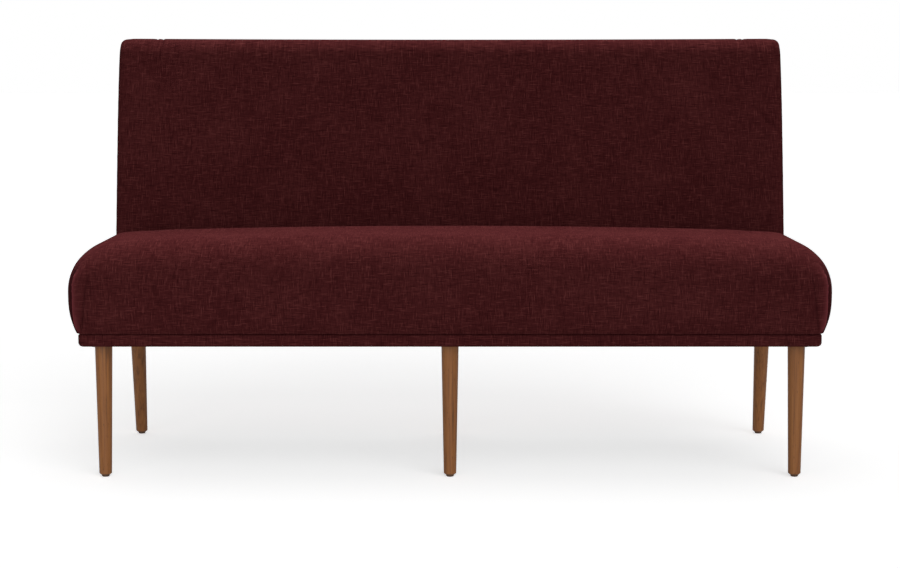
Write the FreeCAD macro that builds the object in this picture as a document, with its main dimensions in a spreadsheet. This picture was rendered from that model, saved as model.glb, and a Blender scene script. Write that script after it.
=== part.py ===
import FreeCAD, Part
import math
import os
import Sketcher
from FreeCAD import Placement, Rotation, Vector

# Armless upholstered dining bench: a tight crowned seat and a reclined back on a wrapped
# base board ring, carried by six round tapered legs. X runs along the bench, -Y is the
# front, Z is up, and the origin is on the floor under the middle of the bench.

doc = FreeCAD.newDocument("upholstered_bench")
sheet = doc.addObject("Spreadsheet::Sheet", "Sizes")

# Driving dimensions, in millimetres, degrees or counts
driving = [
    # Whole bench
    ("overall_width", 1514),
    ("overall_height", 873),
    ("base_depth", 550.4),
    ("seat_bulge", 24.3),
    # Legs and glides
    ("leg_height", 264.5),
    ("leg_top_radius", 17.3),
    ("leg_foot_radius", 12.5),
    ("leg_inset", 44.7),
    ("rear_leg_rake", 9.4),
    ("foot_chamfer", 1.5),
    ("glide_height", 5.5),
    ("glide_radius", 7.6),
    ("glide_step", 1.6),
    ("glide_edge", 1.2),
    ("glide_pin_radius", 1.4),
    ("glide_pin_length", 14),
    # Leg fixings
    ("bolt_radius", 4),
    ("bolt_in_leg", 38),
    ("bolt_point", 5),
    ("bolt_end_room", 2),
    ("tee_barrel_radius", 5.2),
    ("tee_barrel_length", 12),
    ("tee_flange_radius", 11),
    ("tee_flange_thick", 1.6),
    # Base boards and their cloth wrap
    ("board_thick", 19),
    ("board_width", 90),
    ("rear_board_width", 132),
    ("lap_length", 30),
    ("wrap_thick", 2.5),
    ("wrap_lip", 12),
    ("wrap_under", 24),
    ("base_corner_radius", 14),
    ("base_edge_radius", 7),
    ("dust_cover_thick", 0.8),
    # Seat frame
    ("rail_thick", 28),
    ("rail_height", 87.5),
    ("frame_inset", 24),
    ("seat_back_room", 12),
    ("dowel_radius", 5),
    ("dowel_length", 44),
    ("dowel_spread", 46),
    ("block_leg", 72),
    ("block_height", 34),
    ("block_lift", 26),
    # Screws and back bolts
    ("screw_radius", 2.5),
    ("screw_head_radius", 4.6),
    ("screw_head_height", 3.2),
    ("screw_head_rim", 0.6),
    ("screw_bite", 30),
    ("block_screw_offset", 27),
    ("block_screw_bite", 18),
    ("back_bolt_head_radius", 7),
    ("back_bolt_head_height", 5.3),
    ("back_bolt_rise", 24),
    ("back_bolt_inset", 52),
    ("insert_radius", 6.2),
    ("fixing_near", 180),
    ("fixing_far", 520),
    # Springs and deck
    ("springs_per_bay", 5),
    ("wire_radius", 1.8),
    ("wire_flats", 8),
    ("spring_width", 52),
    ("spring_bends", 13),
    ("clip_thick", 1.2),
    ("clip_width", 18),
    ("clip_tail", 9),
    ("clip_lip", 3),
    ("deck_thick", 1.5),
    # Seat padding
    ("seat_height", 483),
    ("seat_waist_height", 369),
    ("seat_tuck", 20.6),
    ("seat_roll_side", 96),
    ("seat_roll_front", 120),
    ("seat_roll_rear", 250),
    ("seat_rear_drop", 45),
    ("seat_fullness", 0.92),
    ("seat_corner_radius", 80),
    ("seat_rear_corner_radius", 34),
    ("seat_hem_radius", 27),
    ("seat_rear_hem_radius", 14),
    ("cover_thick", 2),
    ("wadding_thick", 8),
    ("wadding_stop", 18),
    # Back
    ("back_end_step", 25),
    ("back_thick", 96),
    ("back_recline", 11),
    ("back_crown", 9),
    ("back_draw_in", 2),
    ("back_corner_radius", 20),
    ("back_rear_radius", 8),
    ("back_top_radius", 11),
    ("post_width", 62),
    ("post_depth", 32),
    ("back_rail_height", 70),
    ("sill_depth", 66),
    ("sill_height", 44),
    ("back_dowel_spread", 34),
    ("webbing_width", 52),
    ("webbing_thick", 1.5),
    ("webbing_rows", 5),
    ("panel_thick", 3),
    ("panel_margin", 13),
    # Clearances
    ("hole_room", 0.1),
    ("layer_gap", 0.3),
]
for row, (alias, value) in enumerate(driving, start=1):
    sheet.set(f"A{row}", str(value))
    sheet.setAlias(f"A{row}", alias)
doc.recompute()


def measure(expression):
    return float(sheet.evalExpression(str(expression)))


# Places worked out from the driving dimensions, as expressions
half_base = "(Sizes.overall_width / 2 - Sizes.seat_bulge)"
board_bottom = "(Sizes.glide_height + Sizes.leg_height)"
board_top = f"({board_bottom} + Sizes.board_thick)"
base_bottom = f"({board_bottom} - Sizes.wrap_thick)"
base_top = f"({board_top} + Sizes.wrap_thick)"
back_slope = "tan(Sizes.back_recline * 1deg)"
back_lean = f"((Sizes.overall_height - Sizes.back_top_radius - {base_top}) * {back_slope})"
overall_depth = f"(Sizes.seat_bulge + Sizes.base_depth + {back_lean})"
front = f"(-{overall_depth} / 2)"
base_front = f"({front} + Sizes.seat_bulge)"
base_rear = f"({base_front} + Sizes.base_depth)"
leg_x = f"({half_base} - Sizes.leg_inset)"
front_leg_y = f"({base_front} + Sizes.leg_inset)"
rear_leg_y = f"({base_rear} - Sizes.leg_inset)"
board_half = f"({half_base} - Sizes.wrap_thick)"
board_front = f"({base_front} + Sizes.wrap_thick)"
board_rear = f"({base_rear} - Sizes.wrap_thick)"
side_board_front = f"({board_front} + Sizes.board_width)"
side_board_rear = f"({board_rear} - Sizes.rear_board_width)"
frame_half = f"({half_base} - Sizes.frame_inset)"
frame_front = f"({base_front} + Sizes.frame_inset)"
frame_rear = f"({base_rear} - Sizes.back_thick - Sizes.seat_back_room)"
rail_top = f"({board_top} + Sizes.rail_height)"
wire_height = f"({rail_top} + Sizes.clip_thick + Sizes.wire_radius + Sizes.hole_room)"
clip_top = f"({wire_height} + Sizes.wire_radius + Sizes.hole_room + Sizes.clip_thick)"
deck_top = f"({clip_top} + Sizes.deck_thick)"
soft_bottom = f"({base_top} + Sizes.layer_gap)"
padding = "(Sizes.cover_thick + Sizes.wadding_thick + 2 * Sizes.layer_gap)"
back_half = "(Sizes.overall_width / 2 - Sizes.back_end_step)"
post_half = f"({back_half} - Sizes.back_draw_in - {padding})"
post_inset = "(Sizes.panel_thick + Sizes.layer_gap)"
post_top = f"(Sizes.overall_height - {padding})"
webbing_inset = f"({post_inset} + Sizes.post_depth)"

finished = {}


def keep(label, item):
    item.Label = label
    finished[label] = item
    return item


def at(item, x, y, z):
    for axis, expression in zip("xyz", (x, y, z)):
        item.setExpression(f"Placement.Base.{axis}", str(expression))
    return item


def box(name, size, corner):
    block = doc.addObject("Part::Box", name)
    for side, expression in zip(("Length", "Width", "Height"), size):
        block.setExpression(side, str(expression))
    return at(block, *corner)


def rod(name, radius, length, start, rotation=Rotation()):
    bar = doc.addObject("Part::Cylinder", name)
    bar.setExpression("Radius", str(radius))
    bar.setExpression("Height", str(length))
    bar.Placement = Placement(Vector(), rotation)
    return at(bar, *start)


def cut(name, base, tools):
    for number, tool in enumerate(tools):
        result = doc.addObject("Part::Cut", f"{name}_cut{number}")
        result.Base = base
        result.Tool = tool
        base = result
    return base


def fuse(name, shapes):
    result = doc.addObject("Part::MultiFuse", f"{name}_fuse")
    result.Shapes = shapes
    return result


def group(name, members):
    result = doc.addObject("Part::Compound", f"{name}_group")
    result.Links = members
    return result


def copies(name, master, places):
    # One group of separate solids, each a copy of the master at one of the places
    doc.recompute()
    item = doc.addObject("Part::Feature", name)
    solids = []
    for place in places:
        solid = master.Shape.copy()
        solid.Placement = place.multiply(solid.Placement)
        solids.append(solid)
    item.Shape = Part.makeCompound(solids)
    item.Placement = Placement()
    return item


def shaped(name, shape):
    item = doc.addObject("Part::Feature", name)
    item.Shape = shape
    item.Placement = Placement()
    return item


def sketch_on(body, name, role):
    drawing = body.newObject("Sketcher::SketchObject", name)
    plane = [item for item in body.Origin.OriginFeatures if item.Role == role][0]
    drawing.AttachmentSupport = [(plane, "")]
    drawing.MapMode = "FlatFace"
    return drawing


def outline(drawing, points):
    # A closed outline of straight sides, with every corner bound to two expressions
    corners = [Vector(measure(x), measure(y), 0) for x, y in points]
    count = len(corners)
    for number in range(count):
        drawing.addGeometry(Part.LineSegment(corners[number], corners[(number + 1) % count]))
    for number in range(count):
        drawing.addConstraint(Sketcher.Constraint("Coincident", number, 2, (number + 1) % count, 1))
    for number, (x, y) in enumerate(points):
        for kind, expression in (("DistanceX", x), ("DistanceY", y)):
            rule = Sketcher.Constraint(kind, -1, 1, number, 1, measure(expression))
            index = drawing.addConstraint(rule)
            drawing.setExpression(f"Constraints[{index}]", str(expression))


def turned(name, points):
    # A piece turned about its own Z axis from a half outline of (radius, height) corners
    body = doc.addObject("PartDesign::Body", name)
    drawing = sketch_on(body, f"{name}_outline", "XZ_Plane")
    outline(drawing, points)
    turn = body.newObject("PartDesign::Revolution", f"{name}_turn")
    turn.Profile = drawing
    turn.ReferenceAxis = (drawing, ["V_Axis"])
    turn.Angle = 360
    return body


def extruded(name, role, points, length):
    body = doc.addObject("PartDesign::Body", name)
    drawing = sketch_on(body, f"{name}_outline", role)
    outline(drawing, points)
    pad = body.newObject("PartDesign::Pad", f"{name}_pad")
    pad.Profile = drawing
    pad.setExpression("Length", str(length))
    return body


# Legs: turned to a straight taper, the rear ones tilted so that the foot stands further back,
# with both ends cut level, a bolt hole in the head and a pin hole in the foot
columns = {"left": f"-{leg_x}", "middle": "0", "right": leg_x}
rows = {"front": (front_leg_y, "0"), "rear": (rear_leg_y, "Sizes.rear_leg_rake")}
hole_radius = "(Sizes.bolt_radius + Sizes.hole_room)"
pin_hole_radius = "(Sizes.glide_pin_radius + Sizes.hole_room)"
leg_head = board_bottom
leg_foot = "Sizes.glide_height"


def foot_place(y, rake):
    return f"({y} + Sizes.leg_height * tan({rake} * 1deg))"


def leg(name, x, y, rake):
    slant = f"(Sizes.leg_height / cos({rake} * 1deg))"
    spare = "Sizes.leg_top_radius"
    flare = f"((Sizes.leg_top_radius - Sizes.leg_foot_radius) / {slant} * {spare})"
    cone = doc.addObject("Part::Cone", f"{name}_turning")
    cone.setExpression("Radius1", f"Sizes.leg_foot_radius - {flare}")
    cone.setExpression("Radius2", f"Sizes.leg_top_radius + {flare}")
    cone.setExpression("Height", f"{slant} + 2 * {spare}")
    cone.Placement = Placement(Vector(), Rotation(Vector(1, 0, 0), measure(rake)))
    foot_y = foot_place(y, rake)
    at(cone, x, f"{foot_y} + {spare} * sin({rake} * 1deg)", f"{leg_foot} - {spare} * cos({rake} * 1deg)")
    reach = f"({foot_y} - {y} + 4 * Sizes.leg_top_radius)"
    level = box(f"{name}_level", ("4 * Sizes.leg_top_radius", reach, "Sizes.leg_height"),
                (f"{x} - 2 * Sizes.leg_top_radius", f"{y} - 2 * Sizes.leg_top_radius", leg_foot))
    blank = doc.addObject("Part::Common", f"{name}_blank")
    blank.Base = cone
    blank.Tool = level
    bolt_hole = rod(f"{name}_bolt_hole", hole_radius, "Sizes.bolt_in_leg + 2 * Sizes.bolt_end_room",
                    (x, y, f"{leg_head} - Sizes.bolt_in_leg - Sizes.bolt_end_room"))
    pin_hole = rod(f"{name}_pin_hole", pin_hole_radius, "Sizes.glide_pin_length + 2 * Sizes.bolt_end_room",
                   (x, foot_y, f"{leg_foot} - Sizes.bolt_end_room"))
    drilled = cut(name, blank, [bolt_hole, pin_hole])
    doc.recompute()
    size = measure("Sizes.foot_chamfer")
    rim = []
    for number, edge in enumerate(drilled.Shape.Edges, start=1):
        on_foot = edge.BoundBox.ZMax < measure(leg_foot) + size
        if on_foot and edge.Length > measure("2 * pi * Sizes.glide_radius"):
            rim.append((number, size, size))
    ease = doc.addObject("Part::Chamfer", f"{name}_eased")
    ease.Base = drilled
    ease.Edges = rim
    return ease


def glide(name, x, y):
    body = turned(name, [
        ("0", "0"),
        ("Sizes.glide_radius - Sizes.glide_edge", "0"),
        ("Sizes.glide_radius", "Sizes.glide_edge"),
        ("Sizes.glide_radius", "Sizes.glide_height - Sizes.glide_step"),
        ("Sizes.glide_radius + Sizes.glide_step", "Sizes.glide_height - Sizes.glide_step"),
        ("Sizes.glide_radius + Sizes.glide_step", "Sizes.glide_height"),
        ("Sizes.glide_pin_radius", "Sizes.glide_height"),
        ("Sizes.glide_pin_radius", "Sizes.glide_height + Sizes.glide_pin_length"),
        ("0", "Sizes.glide_height + Sizes.glide_pin_length"),
    ])
    return at(body, x, y, "0")


leg_places = []
for row_name, (leg_y, rake) in rows.items():
    for column, x in columns.items():
        keep(f"leg_{row_name}_{column}", leg(f"leg_{row_name}_{column}", x, leg_y, rake))
        keep(f"glide_{row_name}_{column}",
             glide(f"glide_{row_name}_{column}", x, foot_place(leg_y, rake)))
        spot = Vector(measure(x), measure(leg_y), measure(board_bottom))
        leg_places.append(Placement(spot, Rotation()))

# Hanger bolts run from the leg into a tee nut that is let into the top of the board
hanger_bolt = turned("hanger_bolt", [
    ("0", "-Sizes.bolt_in_leg"),
    ("Sizes.bolt_radius", "-Sizes.bolt_in_leg + Sizes.bolt_point"),
    ("Sizes.bolt_radius", "Sizes.board_thick - Sizes.tee_flange_thick"),
    ("0", "Sizes.board_thick - Sizes.tee_flange_thick"),
])
tee_nut = turned("tee_nut", [
    (hole_radius, "Sizes.board_thick - Sizes.tee_barrel_length"),
    ("Sizes.tee_barrel_radius", "Sizes.board_thick - Sizes.tee_barrel_length"),
    ("Sizes.tee_barrel_radius", "Sizes.board_thick - Sizes.tee_flange_thick"),
    ("Sizes.tee_flange_radius", "Sizes.board_thick - Sizes.tee_flange_thick"),
    ("Sizes.tee_flange_radius", "Sizes.board_thick"),
    (hole_radius, "Sizes.board_thick"),
])
leg_hole = turned("leg_hole", [
    ("0", "-Sizes.layer_gap"),
    (hole_radius, "-Sizes.layer_gap"),
    (hole_radius, "Sizes.board_thick - Sizes.tee_barrel_length - Sizes.hole_room"),
    ("Sizes.tee_barrel_radius + Sizes.hole_room",
     "Sizes.board_thick - Sizes.tee_barrel_length - Sizes.hole_room"),
    ("Sizes.tee_barrel_radius + Sizes.hole_room", "Sizes.board_thick - Sizes.tee_flange_thick"),
    ("Sizes.tee_flange_radius + Sizes.hole_room", "Sizes.board_thick - Sizes.tee_flange_thick"),
    ("Sizes.tee_flange_radius + Sizes.hole_room", "Sizes.board_thick + Sizes.layer_gap"),
    ("0", "Sizes.board_thick + Sizes.layer_gap"),
])
keep("hanger_bolts", copies("hanger_bolts", hanger_bolt, leg_places))
keep("tee_nuts", copies("tee_nuts", tee_nut, leg_places))
leg_holes = copies("leg_holes", leg_hole, leg_places)

# Countersunk screws stand on end: the head at the origin and the shank going up
base_screw_length = "(Sizes.board_thick + Sizes.screw_bite)"


def screw(name, length, room):
    # With room above nothing this is the screw, and with room it is the hole for it
    radius = f"(Sizes.screw_radius + {room})"
    head = f"(Sizes.screw_head_radius + {room})"
    return turned(name, [
        ("0", f"-({room})"),
        (head, f"-({room})"),
        (head, f"Sizes.screw_head_rim + {room}"),
        (radius, f"Sizes.screw_head_height + {room}"),
        (radius, f"{length} - Sizes.screw_radius + {room}"),
        ("0", f"{length} + {room}"),
    ])


fixing_columns = []
for distance in ("Sizes.fixing_near", "Sizes.fixing_far"):
    fixing_columns += [f"-{distance}", distance]

front_rail_middle = f"({frame_front} + Sizes.rail_thick / 2)"
rear_rail_middle = f"({frame_rear} - Sizes.rail_thick / 2)"
seat_screw_places = []
for y in (front_rail_middle, rear_rail_middle):
    for x in fixing_columns:
        spot = Vector(measure(x), measure(y), measure(board_bottom))
        seat_screw_places.append(Placement(spot, Rotation()))
seat_screw = screw("seat_screw", base_screw_length, "0")
seat_screw_hole = screw("seat_screw_hole", base_screw_length, "Sizes.hole_room")
keep("seat_to_base_screws", copies("seat_to_base_screws", seat_screw, seat_screw_places))
seat_screw_holes = copies("seat_screw_holes", seat_screw_hole, seat_screw_places)

# Back bolts come up through the rear board into threaded inserts in the sill of the back
bolt_reach = "(Sizes.board_thick + Sizes.back_bolt_rise)"
back_bolt_places = []
for x in fixing_columns:
    spot = Vector(measure(x), measure(f"{base_rear} - Sizes.back_bolt_inset"), measure(board_bottom))
    back_bolt_places.append(Placement(spot, Rotation()))
back_bolt = turned("back_bolt", [
    ("0", "0"),
    ("Sizes.back_bolt_head_radius", "0"),
    ("Sizes.back_bolt_head_radius", "Sizes.back_bolt_head_height"),
    ("Sizes.bolt_radius", "Sizes.back_bolt_head_height"),
    ("Sizes.bolt_radius", bolt_reach),
    ("0", bolt_reach),
])
back_bolt_hole = turned("back_bolt_hole", [
    ("0", "-Sizes.layer_gap"),
    ("Sizes.back_bolt_head_radius + Sizes.hole_room", "-Sizes.layer_gap"),
    ("Sizes.back_bolt_head_radius + Sizes.hole_room", "Sizes.back_bolt_head_height"),
    (hole_radius, "Sizes.back_bolt_head_height"),
    (hole_radius, "Sizes.board_thick"),
    ("Sizes.insert_radius + Sizes.hole_room", "Sizes.board_thick"),
    ("Sizes.insert_radius + Sizes.hole_room", f"{bolt_reach} + Sizes.bolt_end_room"),
    ("0", f"{bolt_reach} + Sizes.bolt_end_room"),
])
back_insert = turned("back_insert", [
    (hole_radius, "Sizes.board_thick"),
    ("Sizes.insert_radius", "Sizes.board_thick"),
    ("Sizes.insert_radius", bolt_reach),
    (hole_radius, bolt_reach),
])
keep("back_bolts", copies("back_bolts", back_bolt, back_bolt_places))
keep("back_inserts", copies("back_inserts", back_insert, back_bolt_places))
back_bolt_holes = copies("back_bolt_holes", back_bolt_hole, back_bolt_places)

# Base ring: front and rear boards run through, three cross boards are half lapped into them
lap_level = f"({board_bottom} + Sizes.board_thick / 2)"
side_board_length = f"({side_board_rear} - {side_board_front})"
cross_boards = {
    "left": f"-{board_half}",
    "center": "-Sizes.board_width / 2",
    "right": f"{board_half} - Sizes.board_width",
}
lap_cuts = []
for name, x in cross_boards.items():
    middle = box(f"base_{name}_middle", ("Sizes.board_width", side_board_length, "Sizes.board_thick"),
                 (x, side_board_front, board_bottom))
    tongue_size = ("Sizes.board_width", f"{side_board_length} + 2 * Sizes.lap_length",
                   "Sizes.board_thick / 2")
    tongue = box(f"base_{name}_tongue", tongue_size,
                 (x, f"{side_board_front} - Sizes.lap_length", lap_level))
    keep(f"base_{name}_board", fuse(f"base_{name}_board", [middle, tongue]))
    lap_size = ("Sizes.board_width + 2 * Sizes.hole_room",
                f"{side_board_length} + 2 * (Sizes.lap_length + Sizes.hole_room)",
                "Sizes.board_thick")
    lap_cuts.append(box(f"base_{name}_lap", lap_size,
                        (f"{x} - Sizes.hole_room",
                         f"{side_board_front} - Sizes.lap_length - Sizes.hole_room", lap_level)))


def end_board(name, y, width, outer):
    # A long board whose two outer corners are rounded to sit inside the wrap
    body = extruded(f"{name}_blank", "XY_Plane", [
        (f"-{board_half}", "0"), (board_half, "0"), (board_half, width), (f"-{board_half}", width),
    ], "Sizes.board_thick")
    doc.recompute()
    plank = body.Tip
    edges = []
    for number, edge in enumerate(plank.Shape.Edges, start=1):
        bounds = edge.BoundBox
        upright = bounds.ZLength > measure("Sizes.board_thick / 2")
        if upright and abs(bounds.Center.y - measure(outer)) < measure("Sizes.hole_room"):
            edges.append(f"Edge{number}")
    rounding = body.newObject("PartDesign::Fillet", f"{name}_corners")
    rounding.Base = (plank, edges)
    rounding.setExpression("Radius", "Sizes.base_corner_radius - Sizes.wrap_thick")
    return at(body, "0", y, board_bottom)


front_blank = end_board("base_front", board_front, "Sizes.board_width", "0")
rear_blank = end_board("base_rear", side_board_rear, "Sizes.rear_board_width", "Sizes.rear_board_width")
keep("base_front_board", cut("base_front", front_blank, lap_cuts + [leg_holes, seat_screw_holes]))
keep("base_rear_board", cut("base_rear", rear_blank,
                            lap_cuts + [leg_holes, seat_screw_holes, back_bolt_holes]))


# Cloth wrap of the base: a band round the edge that turns over the top and under the boards
def base_wrap():
    half, low, high = measure(half_base), measure(base_bottom), measure(base_top)
    y_front, y_rear = measure(base_front), measure(base_rear)
    skin = measure("Sizes.wrap_thick")
    lip, under = measure("Sizes.wrap_lip"), measure("Sizes.wrap_under")
    band = Part.makeBox(2 * half, y_rear - y_front, high - low, Vector(-half, y_front, low))
    corners = [edge for edge in band.Edges if edge.BoundBox.ZLength > (high - low) / 2]
    band = band.makeFillet(measure("Sizes.base_corner_radius"), corners)
    rims = [edge for edge in band.Edges if edge.BoundBox.ZLength < skin]
    band = band.makeFillet(measure("Sizes.base_edge_radius"), rims)
    core = Part.makeBox(2 * (half - skin), y_rear - y_front - 2 * skin, high - low - 2 * skin,
                        Vector(skin - half, y_front + skin, low + skin))
    corners = [edge for edge in core.Edges if edge.BoundBox.ZLength > (high - low) / 2]
    core = core.makeFillet(measure("Sizes.base_corner_radius") - skin, corners)
    over = Part.makeBox(2 * (half - lip), y_rear - y_front - lip - skin, high - low,
                        Vector(lip - half, y_front + lip, low + skin))
    below = Part.makeBox(2 * (half - under), y_rear - y_front - 2 * under, high - low,
                         Vector(under - half, y_front + under, low - skin))
    return band.cut(core).cut(over).cut(below)


keep("base_wrap", shaped("base_wrap", base_wrap()))

# Dust cover stapled under the boards, with a hole for every leg
dust_inset = "(Sizes.wrap_under + Sizes.layer_gap)"
dust_blank = box("dust_cover_blank", (
    f"2 * ({half_base} - {dust_inset})",
    f"Sizes.base_depth - 2 * {dust_inset}",
    "Sizes.dust_cover_thick",
), (f"-({half_base} - {dust_inset})", f"{base_front} + {dust_inset}",
    f"{board_bottom} - Sizes.dust_cover_thick"))
dust_holes = []
for row_name, (leg_y, rake) in rows.items():
    for column, x in columns.items():
        dust_holes.append(rod(f"dust_hole_{row_name}_{column}", "Sizes.leg_top_radius + Sizes.layer_gap",
                              "3 * Sizes.dust_cover_thick",
                              (x, leg_y, f"{board_bottom} - 2 * Sizes.dust_cover_thick")))
keep("dust_cover", cut("dust_cover", dust_blank, dust_holes))

# Seat frame: long front and rear rails with three cross rails dowelled between them
cross_front = f"({frame_front} + Sizes.rail_thick)"
cross_length = f"({frame_rear} - {frame_front} - 2 * Sizes.rail_thick)"
cross_rails = {
    "left": f"-{frame_half}",
    "center": "-Sizes.rail_thick / 2",
    "right": f"{frame_half} - Sizes.rail_thick",
}
along_y = Rotation(Vector(1, 0, 0), -90)
along_x = Rotation(Vector(0, 1, 0), 90)
leaning = Rotation(Vector(1, 0, 0), -measure("Sizes.back_recline"))
dowel_hole_radius = "(Sizes.dowel_radius + Sizes.hole_room)"
dowel_hole_length = "(Sizes.dowel_length + 2 * Sizes.hole_room)"


def dowel_pair(name, spots, rotation, back):
    # Dowels and their holes, both centred on the joint line; back is the unit step of the axis
    pegs, holes = [], []
    for number, spot in enumerate(spots):
        half = "Sizes.dowel_length / 2"
        start = [f"{place} - ({step}) * {half}" for place, step in zip(spot, back)]
        pegs.append(rod(f"{name}_{number}", "Sizes.dowel_radius", "Sizes.dowel_length", start, rotation))
        half = f"({dowel_hole_length} / 2)"
        start = [f"{place} - ({step}) * {half}" for place, step in zip(spot, back)]
        holes.append(rod(f"{name}_hole_{number}", dowel_hole_radius, dowel_hole_length, start, rotation))
    return pegs, holes


rail_middle = f"({board_top} + Sizes.rail_height / 2)"
front_spots, rear_spots = [], []
cross_holes = {}
seat_pegs = []
for name, x in cross_rails.items():
    center = f"({x} + Sizes.rail_thick / 2)"
    levels = [f"({rail_middle} + {side} * Sizes.dowel_spread / 2)" for side in (-1, 1)]
    near, near_holes = dowel_pair(f"seat_dowel_front_{name}", [(center, cross_front, z) for z in levels],
                                  along_y, ("0", "1", "0"))
    far_y = f"({cross_front} + {cross_length})"
    far, far_holes = dowel_pair(f"seat_dowel_rear_{name}", [(center, far_y, z) for z in levels],
                                along_y, ("0", "1", "0"))
    seat_pegs += near + far
    front_spots += near_holes
    rear_spots += far_holes
    cross_holes[name] = near_holes + far_holes
keep("seat_frame_dowels", group("seat_frame_dowels", seat_pegs))

# Corner blocks glued and screwed into the four corners of the frame
corner_block = extruded("corner_block", "XY_Plane", [
    ("0", "0"), ("Sizes.block_leg", "0"), ("0", "Sizes.block_leg"),
], "Sizes.block_height")
inner_half = f"({frame_half} - Sizes.rail_thick)"
inner_front = measure(cross_front)
inner_rear = measure(f"{cross_front} + {cross_length}")
block_level = measure(f"{board_top} + Sizes.block_lift")
block_corners = [
    Placement(Vector(-measure(inner_half), inner_front, block_level), Rotation()),
    Placement(Vector(measure(inner_half), inner_front, block_level), Rotation(Vector(0, 0, 1), 90)),
    Placement(Vector(measure(inner_half), inner_rear, block_level), Rotation(Vector(0, 0, 1), 180)),
    Placement(Vector(-measure(inner_half), inner_rear, block_level), Rotation(Vector(0, 0, 1), 270)),
]
# In a block's own corner one screw points at each of its two rails, one above the other
head_depth = "(Sizes.block_leg - 2 * Sizes.block_screw_offset)"
offset = measure("Sizes.block_screw_offset")
third = measure("Sizes.block_height / 3")
into_y = Placement(Vector(offset, measure(head_depth), third), Rotation(Vector(1, 0, 0), 90))
into_x = Placement(Vector(measure(head_depth), offset, 2 * third), Rotation(Vector(0, 1, 0), -90))
block_screw_places = [corner.multiply(way) for corner in block_corners for way in (into_y, into_x)]
block_screw_length = f"({head_depth} + Sizes.block_screw_bite)"
block_screw = screw("block_screw", block_screw_length, "0")
block_screw_hole = screw("block_screw_hole", block_screw_length, "Sizes.hole_room")
head_way = turned("block_head_way", [
    ("0", "-Sizes.block_leg"),
    ("Sizes.screw_head_radius + Sizes.hole_room", "-Sizes.block_leg"),
    ("Sizes.screw_head_radius + Sizes.hole_room", "Sizes.hole_room"),
    ("0", "Sizes.hole_room"),
])
keep("corner_block_screws", copies("corner_block_screws", block_screw, block_screw_places))
block_screw_holes = copies("block_screw_holes", block_screw_hole, block_screw_places)
head_ways = copies("block_head_ways", head_way, block_screw_places)
blocks = copies("corner_blocks_blank", corner_block, block_corners)
keep("seat_corner_blocks", cut("seat_corner_blocks", blocks, [block_screw_holes, head_ways]))

for name, y, holes in (("front", frame_front, front_spots),
                       ("rear", f"({frame_rear} - Sizes.rail_thick)", rear_spots)):
    blank = box(f"seat_{name}_blank", (f"2 * {frame_half}", "Sizes.rail_thick", "Sizes.rail_height"),
                (f"-{frame_half}", y, board_top))
    keep(f"seat_{name}_rail", cut(f"seat_{name}", blank, holes + [seat_screw_holes, block_screw_holes]))
for name, x in cross_rails.items():
    blank = box(f"seat_{name}_blank", ("Sizes.rail_thick", cross_length, "Sizes.rail_height"),
                (x, cross_front, board_top))
    keep(f"seat_{name}_rail", cut(f"seat_{name}", blank, cross_holes[name] + [block_screw_holes]))


# Sinuous springs: one unbroken wire each, straight bars joined by half turns, front to rear
def spring_wire():
    first, last = measure(front_rail_middle), measure(rear_rail_middle)
    bends = int(measure("Sizes.spring_bends"))
    radius = measure("Sizes.wire_radius")
    pitch = (last - first) / bends
    bar = (measure("Sizes.spring_width") - 2 * radius - pitch) / 2
    turn = pitch / 2
    edges = []
    side = 1
    for number in range(bends + 1):
        y = first + number * pitch
        start, end = Vector(-side * bar, y, 0), Vector(side * bar, y, 0)
        edges.append(Part.LineSegment(start, end).toShape())
        if number < bends:
            swing = turn * math.sqrt(0.5)
            crest = Vector(side * (bar + turn), y + turn, 0)
            lower = Vector(side * (bar + swing), y + turn - swing, 0)
            upper = Vector(side * (bar + swing), y + turn + swing, 0)
            edges.append(Part.Arc(end, lower, crest).toShape())
            edges.append(Part.Arc(crest, upper, Vector(side * bar, y + pitch, 0)).toShape())
        side = -side
    path = Part.Wire(edges)
    flats = int(measure("Sizes.wire_flats"))
    corners = []
    for number in range(flats):
        angle = 2 * math.pi * (number + 0.5) / flats
        corners.append(Vector(-bar, first + radius * math.cos(angle), radius * math.sin(angle)))
    ring = Part.makePolygon(corners + corners[:1])
    print("spring wire: least gap to itself", round(pitch - 2 * radius, 2), "mm, length",
          round(path.Length, 1), "mm")
    return path.makePipeShell([ring], True, False)


spring_columns = []
bay = measure(f"{frame_half} - 1.5 * Sizes.rail_thick")
count = int(measure("Sizes.springs_per_bay"))
for number in range(count):
    step = measure("Sizes.rail_thick / 2") + bay * (number + 0.5) / count
    spring_columns += [-step, step]
spring_columns.sort()
spring = shaped("spring_master", spring_wire())
spring_places = [Placement(Vector(x, 0, measure(wire_height)), Rotation()) for x in spring_columns]
keep("sinuous_springs", copies("sinuous_springs", spring, spring_places))

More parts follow.
